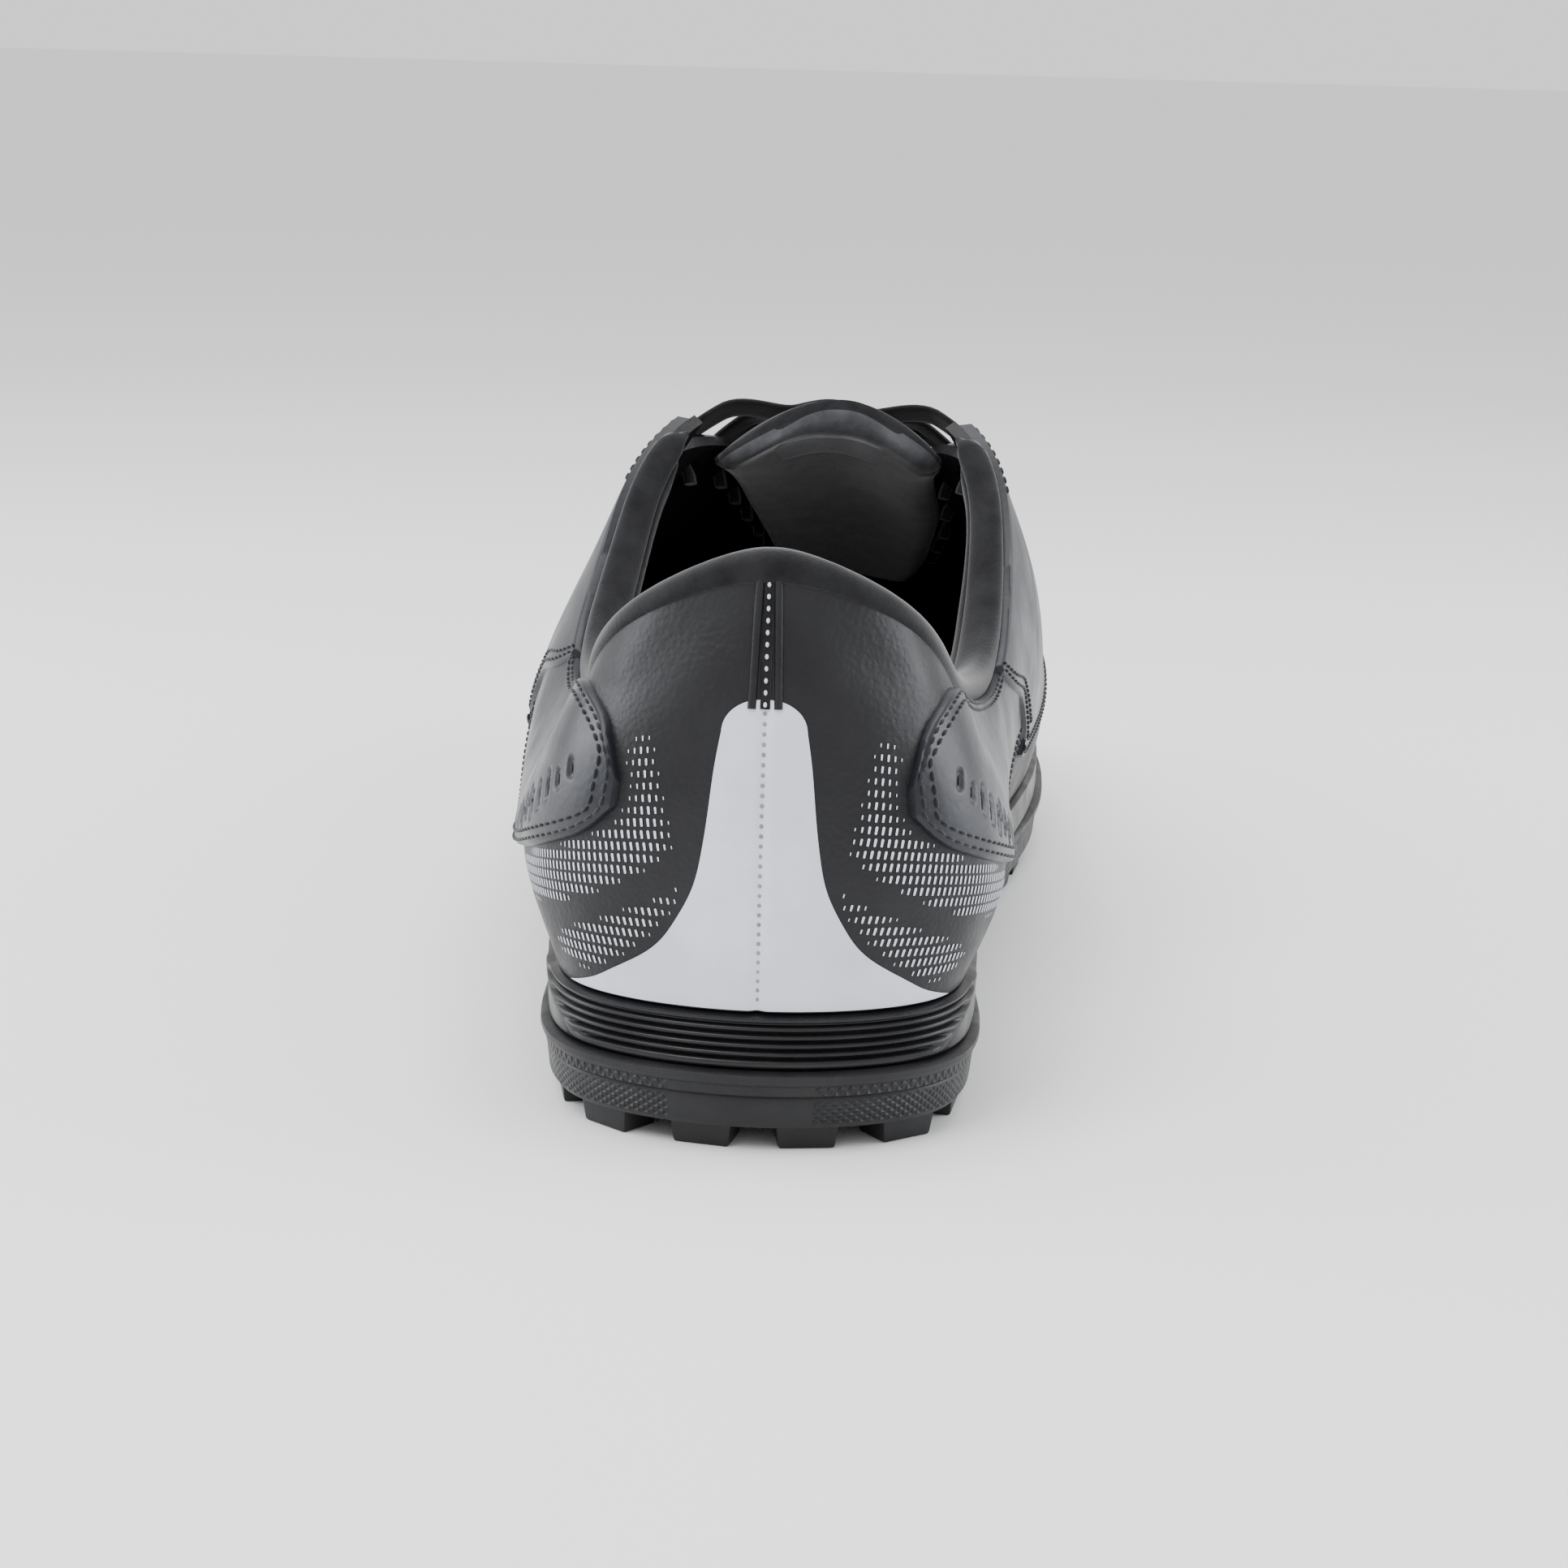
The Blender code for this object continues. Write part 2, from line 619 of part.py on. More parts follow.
def make_eyelet_cutters(cutters):
    """Short rods through the wall, one for each eyelet, as one mesh."""
    body = bmesh.new()
    depth = 4 * WALL
    for pair in eyelet_places():
        for u, share in pair:
            axis = outward(u, share)
            middle = off_skin(u, share, -0.5 * WALL)
            across = np.cross(axis, (0.0, 1.0, 0.0))
            across /= np.linalg.norm(across)
            third = np.cross(axis, across)
            made = bmesh.ops.create_cone(
                body, cap_ends=True, segments=8, radius1=EYELET_RADIUS, radius2=EYELET_RADIUS, depth=depth
            )["verts"]
            for v in made:
                v.co = tuple(middle + across * v.co.x + third * v.co.y + axis * v.co.z)
    bmesh.ops.recalc_face_normals(body, faces=body.faces)
    mesh = bpy.data.meshes.new("eyelet_rods")
    body.to_mesh(mesh)
    body.free()
    rods = bpy.data.objects.new("eyelet_rods", mesh)
    rods.hide_render = True
    rods.display_type = "WIRE"
    cutters.objects.link(rods)
    return rods


def make_quarter(name, side, collection):
    """A stitched panel on one side, just outside the wall of the upper."""
    first, last = QUARTER[0][0], QUARTER[-1][0]
    stations = [first, *[t for t in stations_of_the_upper() if first + 0.1 < t < last - 0.1], last]
    columns, rows = len(stations), 7
    distance = QUARTER_GAP + QUARTER_THICKNESS
    vertices = []
    for t in stations:
        u = t if side < 0 else TURN - t
        edge = edge_share(u)
        for j in range(rows):
            share = quarter_low(t) + (quarter_high(t) - quarter_low(t)) * j / (rows - 1)
            vertices.append(off_skin(u, edge * share, distance))
    faces = []
    for i in range(columns - 1):
        for j in range(rows - 1):
            face = (i * rows + j, i * rows + j + 1, (i + 1) * rows + j + 1, (i + 1) * rows + j)
            faces.append(face if side < 0 else face[::-1])
    quarter = new_object(name, vertices, faces, (0.024, 0.024, 0.028), 0.40, collection)
    wall = quarter.modifiers.new("wall", "SOLIDIFY")
    wall.thickness = QUARTER_THICKNESS
    wall.offset = -1
    return quarter


def make_collar_lining(collection):
    """Padded lining inside the collar, rolled over its edge, from peak to peak round the heel."""
    inner = WALL + LINING_GAP
    # Outline of the pad: inward from the outside of the wall, and up from its edge
    profile = (
        (0.0000, LINING_GAP),
        (-0.0004, 0.45 * ROLL_HEIGHT),
        (0.0004, 0.82 * ROLL_HEIGHT),
        (0.0022, ROLL_HEIGHT),
        (0.0046, 0.86 * ROLL_HEIGHT),
        (inner + 0.66 * PAD_THICKNESS, 0.20 * ROLL_HEIGHT),
        (inner + PAD_THICKNESS, -0.22 * PAD_DROP),
        (inner + 0.96 * PAD_THICKNESS, -0.50 * PAD_DROP),
        (inner + 0.55 * PAD_THICKNESS, -0.80 * PAD_DROP),
        (inner + 0.14 * PAD_THICKNESS, -PAD_DROP),
        (inner, -PAD_DROP),
        (inner, -0.67 * PAD_DROP),
        (inner, -0.33 * PAD_DROP),
        (inner, LINING_GAP),
    )
    half = [t for t in stations_of_the_upper() if t < PEAK - 0.1]
    turn = [-t for t in reversed(half)] + half[1:]
    vertices = []
    for u in turn:
        t = abs(u)
        edge = edge_share(u % TURN)
        length = rib(u % TURN)[2]
        thin = 1.0 - 0.62 * ease((t - (PEAK - 1.3)) / 1.3)
        for inward, up in profile:
            if inward > inner:
                inward = inner + (inward - inner) * thin
            vertices.append(off_skin(u % TURN, edge + up / length, -inward))
    count = len(profile)
    faces = []
    for i in range(len(turn) - 1):
        for j in range(count):
            k = (j + 1) % count
            faces.append((i * count + j, i * count + k, (i + 1) * count + k, (i + 1) * count + j))
    faces.append(tuple(reversed(range(count))))
    end = (len(turn) - 1) * count
    faces.append(tuple(end + j for j in range(count)))
    return new_object("collar_lining", vertices, faces, (0.022, 0.022, 0.025), 0.9, collection)


def make_insole(collection):
    """Sock liner: a thin slab on the sole, inside the wall of the upper."""
    ring, out = feather_ring(SOLE_STATIONS)
    inset = WALL + 2 * CLEARANCE

    def level(height):
        return lambda y: seat(y) + CLEARANCE + height

    rows = [
        offset_ring(ring, out, np.full(len(ring), -inset - 0.0008), level(INSOLE_THICKNESS)),
        offset_ring(ring, out, np.full(len(ring), -inset), level(0.75 * INSOLE_THICKNESS)),
        offset_ring(ring, out, np.full(len(ring), -inset), level(0.0)),
    ]
    vertices, faces = closed_rows(rows)
    vertices, faces = strip_caps(vertices, faces, len(ring), len(rows), len(SOLE_STATIONS) - 1)
    return new_object("insole", vertices, faces, (0.03, 0.03, 0.033), 0.85, collection)


def make_tongue(collection):
    """Padded tongue: a strip under the crest, from inside the vamp to above the throat."""
    stations = [t for t in reversed(stations_of_the_upper()) if TONGUE_TOP < t < THROAT_END + 0.5]
    columns = 9
    depth = WALL + TONGUE_GAP
    rows = []
    for t in stations:
        rise = (stations[0] - t) / (stations[0] - stations[-1])
        half = TONGUE_HALF_TOE + (TONGUE_HALF_TOP - TONGUE_HALF_TOE) * rise
        row = []
        for b in np.linspace(-1, 1, columns):
            u = t if b < 0 else TURN - t
            share = 1.0 - abs(b) * half / rib(u)[2]
            row.append(off_skin(u, share, -depth))
        rows.append(row)
    last, before = np.array(rows[-1]), np.array(rows[-2])
    middle = columns // 2
    run = last[middle] - before[middle]
    run /= np.linalg.norm(run)
    for step, width in ((0.4, 0.92), (0.75, 0.80), (1.0, 0.58)):
        rounded = last[middle] + (last - last[middle]) * width
        rows.append(list(rounded + run * TONGUE_ABOVE_THROAT * step))
    vertices = [point for row in rows for point in row]
    faces = []
    for i in range(len(rows) - 1):
        for j in range(columns - 1):
            a = i * columns + j
            faces.append((a, a + 1, a + columns + 1, a + columns))
    tongue = new_object("tongue", vertices, faces, (0.05, 0.05, 0.055), 0.9, collection)
    wall = tongue.modifiers.new("wall", "SOLIDIFY")
    wall.thickness = TONGUE_THICKNESS
    wall.offset = 1
    return tongue


def lace_tube(name, start, end, collection):
    """A round lace over the throat, from one eyelet to another on the other side, as a mesh object."""
    points = []
    low = LACE_RADIUS + CLEARANCE - WALL - TONGUE_GAP + 0.0004
    high = LACE_RADIUS + 4 * CLEARANCE
    for b in (-1.0, -0.55, -0.2, 0.2, 0.55, 1.0):
        t = start + (end - start) * (b + 1) / 2
        u = t if b < 0 else TURN - t
        share = 1.0 - abs(b) * (throat_at(t) + EYELET_INSET) / rib(u)[2]
        height = low + (high - low) * ease((abs(b) - 0.2) / 0.4)
        points.append(off_skin(u, share, height))
    curve = bpy.data.curves.new(name, "CURVE")
    curve.dimensions = "3D"
    curve.bevel_depth = LACE_RADIUS
    curve.bevel_resolution = 2
    curve.use_fill_caps = True
    spline = curve.splines.new("POLY")
    spline.points.add(len(points) - 1)
    for point, at in zip(spline.points, points):
        point.co = (*at, 1.0)
    rope = bpy.data.objects.new(name, curve)
    collection.objects.link(rope)
    bpy.context.view_layer.update()
    evaluated = rope.evaluated_get(bpy.context.evaluated_depsgraph_get())
    mesh = bpy.data.meshes.new_from_object(evaluated)
    body = bmesh.new()
    body.from_mesh(mesh)
    bmesh.ops.remove_doubles(body, verts=body.verts, dist=0.00002)
    bmesh.ops.recalc_face_normals(body, faces=body.faces)
    body.to_mesh(mesh)
    body.free()
    bpy.data.objects.remove(rope, do_unlink=True)
    return mesh


def joined_mesh(name, meshes):
    """One mesh of several that don't touch."""
    body = bmesh.new()
    for mesh in meshes:
        body.from_mesh(mesh)
    joined = bpy.data.meshes.new(name)
    body.to_mesh(joined)
    body.free()
    return joined


def make_laces(collection, cutters):
    """Lacing over the throat: a bar at the toe end and a crossing for each further pair of eyelets."""
    stops = list(np.linspace(FIRST_EYELET, LAST_EYELET, EYELETS))
    pairs = list(zip(stops[1:], stops[:-1]))
    rising = joined_mesh("rising", [lace_tube("rising", a, b, collection) for a, b in pairs])
    falling = joined_mesh("falling", [lace_tube("falling", b, a, collection) for a, b in pairs])
    bar = lace_tube("bar", stops[-1], stops[-1], collection)
    laces = place("laces", rising, (0.02, 0.02, 0.02), 0.8, collection)
    for mesh in (falling, bar):
        other = bpy.data.objects.new(f"lace_{mesh.name}", mesh)
        other.hide_render = True
        other.display_type = "WIRE"
        cutters.objects.link(other)
        union = laces.modifiers.new(mesh.name, "BOOLEAN")
        union.operation = "UNION"
        union.solver = "EXACT"
        union.object = other
    return laces


def centre(*collections):
    """Bring the middle of the outsole's plan to the origin, with everything that belongs to it."""
    ring, out = feather_ring(SOLE_STATIONS)
    plan = ring + out * OUTSOLE_FLARE
    middle = (plan.min(axis=0) + plan.max(axis=0)) / 2
    origin = bpy.data.objects.new("shoe_origin", None)
    bpy.context.scene.collection.objects.link(origin)
    origin.location = (-middle[0], -middle[1], 0.0)
    for collection in collections:
        for made in collection.objects:
            made.parent = origin
    bpy.context.view_layer.update()


def main():
    for old in list(bpy.data.objects):
        bpy.data.objects.remove(old, do_unlink=True)
    shoe = bpy.data.collections.new("turf_shoe")
    cutters = bpy.data.collections.new("cutters")
    bpy.context.scene.collection.children.link(shoe)
    bpy.context.scene.collection.children.link(cutters)
    make_outsole(shoe, cutters)
    make_midsole(shoe)
    make_upper(shoe, cutters)
    make_insole(shoe)
    make_tongue(shoe)
    make_collar_lining(shoe)
    make_quarter("quarter_lateral", -1, shoe)
    make_quarter("quarter_medial", 1, shoe)
    make_laces(shoe, cutters)
    centre(shoe, cutters)


main()
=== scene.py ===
"""Looks of the left turf shoe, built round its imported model.

Everything is worked out in the shoe's own sizes. The surface of the last is the one that the
solids were cut from, so skin, panels, stitches and print are placed by station round the foot
and by share up the wall. The toe points along +Y, the inner side of the foot is +X.
"""

import math

import bmesh
import bpy
import numpy as np
from mathutils import Matrix, Vector, noise


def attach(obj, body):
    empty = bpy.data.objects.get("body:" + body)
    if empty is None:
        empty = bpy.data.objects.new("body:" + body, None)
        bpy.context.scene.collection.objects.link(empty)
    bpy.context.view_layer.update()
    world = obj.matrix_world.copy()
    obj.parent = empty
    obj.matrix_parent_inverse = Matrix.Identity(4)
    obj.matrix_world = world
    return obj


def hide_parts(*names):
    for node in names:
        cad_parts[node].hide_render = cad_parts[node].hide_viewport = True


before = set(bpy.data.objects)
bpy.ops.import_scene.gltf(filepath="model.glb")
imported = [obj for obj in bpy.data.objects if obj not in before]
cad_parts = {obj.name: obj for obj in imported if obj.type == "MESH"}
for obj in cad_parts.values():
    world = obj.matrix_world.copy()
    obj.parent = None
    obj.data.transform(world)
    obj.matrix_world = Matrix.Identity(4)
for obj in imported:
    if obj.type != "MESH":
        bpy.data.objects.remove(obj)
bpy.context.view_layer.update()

# Overall sizes, in metres
LENGTH = 0.284
BALL_WIDTH = 0.100
LAST_HEIGHT = 0.080
HEEL_SOLE = 0.0210
TOE_SPRING = 0.009
ARCH_RISE = 0.0045

# Walls, clearances and small sizes, in metres
CLEARANCE = 0.0003
LINING_GAP = 0.0005
TONGUE_GAP = 0.0009
WALL = 0.0022
QUARTER_LIFT = 0.0015     # top of the quarters above the skin
EYESTAY_LIFT = 0.0023     # top of the lace panels above the skin
EYESTAY_WALL = 0.0007
PANEL_EDGE = 0.0010       # width of a panel's round edge
STITCH = (0.0015, 0.0005, 0.0003)
STITCH_PITCH = 0.0019
INSOLE_THICKNESS = 0.004
TONGUE_THICKNESS = 0.0055
TONGUE_HALF_TOP = 0.0245
TONGUE_HALF_TOE = 0.015
LABEL_RISE = 0.0004
TONGUE_ABOVE_THROAT = 0.006
PAD_THICKNESS = 0.0068
PAD_DROP = 0.027
ROLL_HEIGHT = 0.0036
MIDSOLE_LEDGE = 0.0011
OUTSOLE_FLARE = 0.0025
WAIST_TRIM = 0.6
LUG_HEIGHT = 0.0037
LUG_LENGTH = 0.0098
LUG_WIDTH = 0.0075
LUG_MARGIN = 0.0003
LUG_TAPER = 0.86
LUG_BEVEL = 0.0005
LUG_OVERLAP = 0.0012      # how far a lug reaches into the outsole
LUG_DISH = 0.0004
LUG_RIM = 0.0012
LUG_PITCH = 0.0147
STUD_RADIUS = 0.0042
STUD_PITCH = 0.0175
EYELETS = 6
EYELET_RADIUS = 0.0021
EYELET_INSET = 0.0065
LACE_WIDTH = 0.0062
LACE_THICKNESS = 0.0013

# Stations number the ribs from the heel seam, 0, to the toe tip, 13
TOE = 13
TURN = 2 * TOE
PEAK = 5.45
THROAT_END = 9.1
FIRST_EYELET = 5.85
LAST_EYELET = 8.65
TONGUE_TOP = 5.95
TONGUE_TOE = 9.59

# Ribs of the last, as shares: along of LENGTH, across and out of BALL_WIDTH, up of LAST_HEIGHT.
# Each row: feather along, across | belly out, up | flank across, up | crest along, across, up
LATERAL_RIBS = (
    (0.0080, 0.000, 0.020, 0.26, 0.000, 0.690, 0.028, 0.000, 0.990),
    (0.0360, 0.245, 0.028, 0.24, 0.185, 0.690, 0.053, 0.125, 0.990),
    (0.0990, 0.325, 0.044, 0.19, 0.260, 0.620, 0.106, 0.185, 1.000),
    (0.1760, 0.350, 0.056, 0.18, 0.290, 0.490, 0.187, 0.195, 1.030),
    (0.2640, 0.372, 0.060, 0.18, 0.315, 0.520, 0.282, 0.180, 1.070),
    (0.3520, 0.402, 0.046, 0.15, 0.335, 0.630, 0.370, 0.090, 1.080),
    (0.4400, 0.440, 0.026, 0.115, 0.345, 0.580, 0.451, -0.040, 0.960),
    (0.5280, 0.475, 0.018, 0.095, 0.365, 0.450, 0.528, -0.070, 0.820),
    (0.6160, 0.495, 0.012, 0.09, 0.380, 0.350, 0.606, -0.080, 0.680),
    (0.7040, 0.488, 0.010, 0.095, 0.375, 0.305, 0.676, -0.080, 0.565),
    (0.7920, 0.446, 0.008, 0.115, 0.340, 0.295, 0.743, -0.075, 0.485),
    (0.8770, 0.350, 0.005, 0.14, 0.260, 0.300, 0.806, -0.065, 0.430),
    (0.9510, 0.195, 0.003, 0.16, 0.140, 0.305, 0.852, -0.060, 0.395),
)
TOE_RIB = (0.9915, -0.050, 0.002, 0.165, -0.055, 0.305, 0.873, -0.060, 0.375)
MEDIAL_RIBS = (
    (0.0360, 0.240, 0.030, 0.24, 0.185, 0.690, 0.053, 0.125, 0.990),
    (0.0990, 0.308, 0.045, 0.16, 0.250, 0.620, 0.106, 0.185, 1.000),
    (0.1760, 0.316, 0.048, 0.17, 0.285, 0.500, 0.187, 0.215, 1.030),
    (0.2640, 0.308, 0.054, 0.18, 0.318, 0.550, 0.282, 0.230, 1.070),
    (0.3520, 0.316, 0.056, 0.19, 0.350, 0.720, 0.370, 0.180, 1.080),
    (0.4400, 0.350, 0.050, 0.165, 0.378, 0.640, 0.451, 0.045, 0.960),
    (0.5280, 0.398, 0.034, 0.125, 0.395, 0.480, 0.528, 0.070, 0.820),
    (0.6160, 0.442, 0.022, 0.105, 0.405, 0.365, 0.606, 0.080, 0.680),
    (0.7040, 0.460, 0.016, 0.105, 0.400, 0.310, 0.676, 0.080, 0.565),
    (0.7920, 0.448, 0.010, 0.12, 0.372, 0.300, 0.743, 0.075, 0.485),
    (0.8770, 0.386, 0.006, 0.14, 0.308, 0.305, 0.806, 0.065, 0.430),
    (0.9510, 0.262, 0.003, 0.16, 0.203, 0.310, 0.852, 0.060, 0.395),
)
FLANK_ALONG = 0.45

# Edge of the collar: station, height lateral, height medial, as shares of LAST_HEIGHT
TOPLINE = (
    (-1.0, 0.735, 0.730),
    (0.0, 0.806, 0.806),
    (1.0, 0.730, 0.735),
    (2.0, 0.590, 0.600),
    (3.0, 0.478, 0.490),
    (3.5, 0.452, 0.462),
    (4.0, 0.470, 0.475),
    (4.5, 0.580, 0.580),
    (5.0, 0.765, 0.765),
    (5.3, 0.885, 0.890),
    (PEAK, 0.930, 0.935),
)
# Half width of the lace opening, measured over the instep: station, share of BALL_WIDTH
THROAT = (
    (PEAK, 0.265),
    (6.0, 0.215),
    (7.0, 0.170),
    (8.0, 0.138),
    (8.7, 0.115),
)
# Thickness of the sole at the feather line: share of LENGTH, share of HEEL_SOLE
SOLE_THICKNESS = (
    (0.00, 1.00),
    (0.10, 0.99),
    (0.22, 0.93),
    (0.36, 0.87),
    (0.52, 0.86),
    (0.68, 0.91),
    (0.84, 0.92),
    (1.00, 0.88),
)
# Top of the outsole's side: share of LENGTH, share of the sole's thickness
OUTSOLE_SHARE = (
    (0.00, 0.60),
    (0.30, 0.60),
    (0.55, 0.64),
    (0.80, 0.72),
    (1.00, 0.84),
)
# Quarter on each side: station, lower edge, upper edge, as shares of the wall's height there
QUARTER = (
    (0.80, 0.480, 0.540),
    (0.95, 0.432, 0.655),
    (1.20, 0.398, 0.760),
    (1.60, 0.378, 0.865),
    (2.10, 0.362, 0.930),
    (2.90, 0.352, 0.965),
    (3.60, 0.345, 0.970),
    (4.60, 0.330, 0.970),
    (5.30, 0.300, 0.970),
)
# Eyestay on each side: station, lower edge, as a share of the wall's height there
EYESTAY = (
    (4.05, 0.960),
    (4.40, 0.750),
    (4.80, 0.560),
    (5.15, 0.380),
    (5.45, 0.265),
    (5.90, 0.225),
    (6.60, 0.250),
    (7.40, 0.340),
    (8.20, 0.470),
    (9.00, 0.620),
    (9.60, 0.800),
    (10.00, 0.985),
)
# White heel patch: share of the wall's height, half width in stations
PATCH = (
    (0.004, 1.32),
    (0.030, 1.06),
    (0.065, 0.86),
    (0.130, 0.585),
    (0.207, 0.425),
    (0.295, 0.325),
    (0.366, 0.290),
    (0.480, 0.265),
    (0.580, 0.252),
    (0.650, 0.235),
)
PATCH_TOP = 0.722
# Printed dashes beside the patch: share of the wall's height, inner and outer edge in stations
UPPER_DASHES = (
    (0.215, 1.60, 1.95),
    (0.245, 1.10, 2.20),
    (0.280, 0.82, 2.40),
    (0.320, 0.62, 2.35),
    (0.355, 0.50, 1.90),
    (0.395, 0.43, 1.08),
    (0.450, 0.48, 0.80),
    (0.520, 0.53, 0.74),
    (0.600, 0.60, 0.82),
    (0.665, 0.66, 0.82),
)
LOWER_DASHES = (
    (0.060, 0.98, 1.25),
    (0.095, 0.82, 1.42),
    (0.130, 0.68, 1.45),
    (0.170, 0.57, 1.18),
    (0.210, 0.48, 0.86),
    (0.260, 0.40, 0.58),
    (0.310, 0.36, 0.42),
)
DASH_PITCH = 0.00105      # from dash to dash round the heel
DASH_ROW = 0.00175        # from row to row up the wall
DASH_LENGTH = 0.00125
DASH_WIDTH = 0.00042

# Pressed slots of the quarter, row by row: station and share of the row's first slot, number of slots
SLOT_ROWS = (
    (1.22, 0.585),
    (1.50, 0.560),
    (1.86, 0.525),
    (2.26, 0.485),
)
SLOTS_IN_A_ROW = 5
SLOT_LENGTH = 0.0021
SLOT_WIDTH = 0.0007
SLOT_DEPTH = 0.0005

# Soft creases of the upper: width, depth (a ridge is negative), then the path as station, share
CREASES = (
    (0.0030, 0.00055, ((8.75, 0.50), (9.15, 0.72), (9.35, 0.88), (9.45, 1.00))),
    (0.0034, 0.00050, ((9.25, 0.42), (9.75, 0.66), (9.95, 0.86), (10.00, 1.00))),
    (0.0036, -0.00045, ((9.00, 0.46), (9.45, 0.69), (9.65, 0.87), (9.70, 1.00))),
    (0.0040, 0.00035, ((6.90, 0.16), (7.60, 0.30), (8.30, 0.36))),
    (0.0045, 0.00040, ((0.55, 0.90), (0.95, 0.80), (1.25, 0.70))),
    (0.0050, -0.00030, ((0.40, 0.80), (0.62, 0.66), (0.66, 0.52))),
    (0.0050, 0.00035, ((2.30, 0.86), (3.10, 0.74), (4.00, 0.70))),
    (0.0060, 0.00035, ((3.20, 0.40), (4.00, 0.48), (4.90, 0.44))),
)
SEAM_TOP = 0.70           # share of the heel wall where the tape ends and the patch begins
GROOVE_WIDTH = 0.0008
GROOVE_DEPTH = 0.00045
TAPE_WIDTH = 0.0014
TAPE_LIFT = 0.0003
BEAD_WIDTH = 0.0013
BEAD_HEIGHT = 0.0006
DOT_PITCH = 0.00155
PRINT_LIFT = 0.00014
DASH_LIFT = 0.00012

# Camera, fitted to the photograph: a point of the heel frame, angles in degrees, sizes in metres
LOOKED_AT = (0.0006, 0.0600, 0.0421)
CAMERA_DISTANCE = 0.500
CAMERA_ELEVATION = 13.24
CAMERA_AZIMUTH = 2.41
CAMERA_ROLL = 1.59
SENSOR = 36.0
PHOTO_SIDE = 1932
FOCAL_PIXELS = 3785.5


def natural_spline(rows, column):
    """The smooth curve through one column of a table, over its first column."""
    keys = np.array([row[0] for row in rows])
    values = np.array([row[column] for row in rows])
    steps = np.diff(keys)
    rises = np.diff(values) / steps
    system = np.eye(len(keys))
    change = np.zeros(len(keys))
    for i in range(1, len(keys) - 1):
        system[i, i - 1:i + 2] = steps[i - 1], 2 * (steps[i - 1] + steps[i]), steps[i]
        change[i] = 6 * (rises[i] - rises[i - 1])
    bends = np.linalg.solve(system, change)

    def value(key):
        i = int(np.clip(np.searchsorted(keys, key) - 1, 0, len(steps) - 1))
        past, left = key - keys[i], keys[i + 1] - key
        curve = (bends[i] * left ** 3 + bends[i + 1] * past ** 3) / (6 * steps[i])
        start = (values[i] / steps[i] - bends[i] * steps[i] / 6) * left
        end = (values[i + 1] / steps[i] - bends[i + 1] * steps[i] / 6) * past
        return curve + start + end

    return value


def straight(rows, column):
    """The straight run through one column of a table, over its first column."""
    keys = [row[0] for row in rows]
    values = [row[column] for row in rows]
    return lambda key: float(np.interp(key, keys, values))


def ease(x):
    """0 to 1 with level ends, for a number or an array."""
    x = np.clip(x, 0.0, 1.0)
    return x * x * (3 - 2 * x)


sole_thickness = natural_spline(SOLE_THICKNESS, 1)
outsole_share = natural_spline(OUTSOLE_SHARE, 1)
topline_lateral = natural_spline(TOPLINE, 1)
topline_medial = natural_spline(TOPLINE, 2)
throat_half = natural_spline(THROAT, 1)
quarter_low = natural_spline(QUARTER, 1)
quarter_high = natural_spline(QUARTER, 2)
eyestay_low = natural_spline(EYESTAY, 1)
patch_half = natural_spline(PATCH, 1)


def toe_lift(y):
    """How far toe spring lifts the tread at y."""
    past = max(y / LENGTH - 0.76, 0.0) / 0.24
    return TOE_SPRING * past ** 2


def arch_lift(y):
    """How far the tread stands off the floor under the waist at y."""
    along = y / LENGTH
    return ARCH_RISE * ease((along - 0.25) / 0.07) * ease((0.49 - along) / 0.07)


def waist(y):
    """1 between heel and ball, 0 at both."""
    along = y / LENGTH
    return ease((along - 0.08) / 0.12) * ease((0.66 - along) / 0.16)


def seat(y):
    """Height of the feather line at y: the top of the sole."""
    return sole_thickness(y / LENGTH) * HEEL_SOLE + toe_lift(y)


def parting(y):
    """Height of the line between midsole and outsole at y."""
    return sole_thickness(y / LENGTH) * HEEL_SOLE * outsole_share(y / LENGTH) + toe_lift(y)


def tread(y):
    """Height of the tread's ground, between its lugs."""
    return LUG_HEIGHT + arch_lift(y) + toe_lift(y)


def last_points():
    """Feather, belly, flank and crest of every rib, once round the foot."""
    sides = [(row, -1) for row in LATERAL_RIBS] + [(TOE_RIB, -1)]
    sides += [(row, 1) for row in reversed(MEDIAL_RIBS)]
    feather = np.array([(side * row[1] * BALL_WIDTH, row[0] * LENGTH) for row, side in sides])
    run = np.roll(feather, -1, axis=0) - np.roll(feather, 1, axis=0)
    run /= np.linalg.norm(run, axis=1)[:, None]
    points = np.zeros((TURN, 4, 3))
    for i, (row, side) in enumerate(sides):
        x, y = feather[i]
        out = row[2] * BALL_WIDTH
        crest_y = row[6] * LENGTH
        points[i, 0] = x, y, seat(y)
        points[i, 1] = x - run[i, 1] * out, y + run[i, 0] * out, HEEL_SOLE + row[3] * LAST_HEIGHT
        flank_y = y + FLANK_ALONG * (crest_y - y)
        points[i, 2] = side * row[4] * BALL_WIDTH, flank_y, HEEL_SOLE + row[5] * LAST_HEIGHT
        points[i, 3] = side * row[7] * BALL_WIDTH, crest_y, HEEL_SOLE + row[8] * LAST_HEIGHT
    return points


LAST = last_points()
system = 4 * np.eye(TURN) + np.roll(np.eye(TURN), 1, axis=1) + np.roll(np.eye(TURN), -1, axis=1)
change = 3 * (np.roll(LAST, -1, axis=0) - np.roll(LAST, 1, axis=0))
LAST_SLOPES = np.linalg.solve(system, change.reshape(TURN, 12)).reshape(TURN, 4, 3)


def station(u):
    """Station of a place on the turn round the foot: 0 at the heel seam, 13 at the toe tip."""
    return min(u % TURN, TURN - u % TURN)


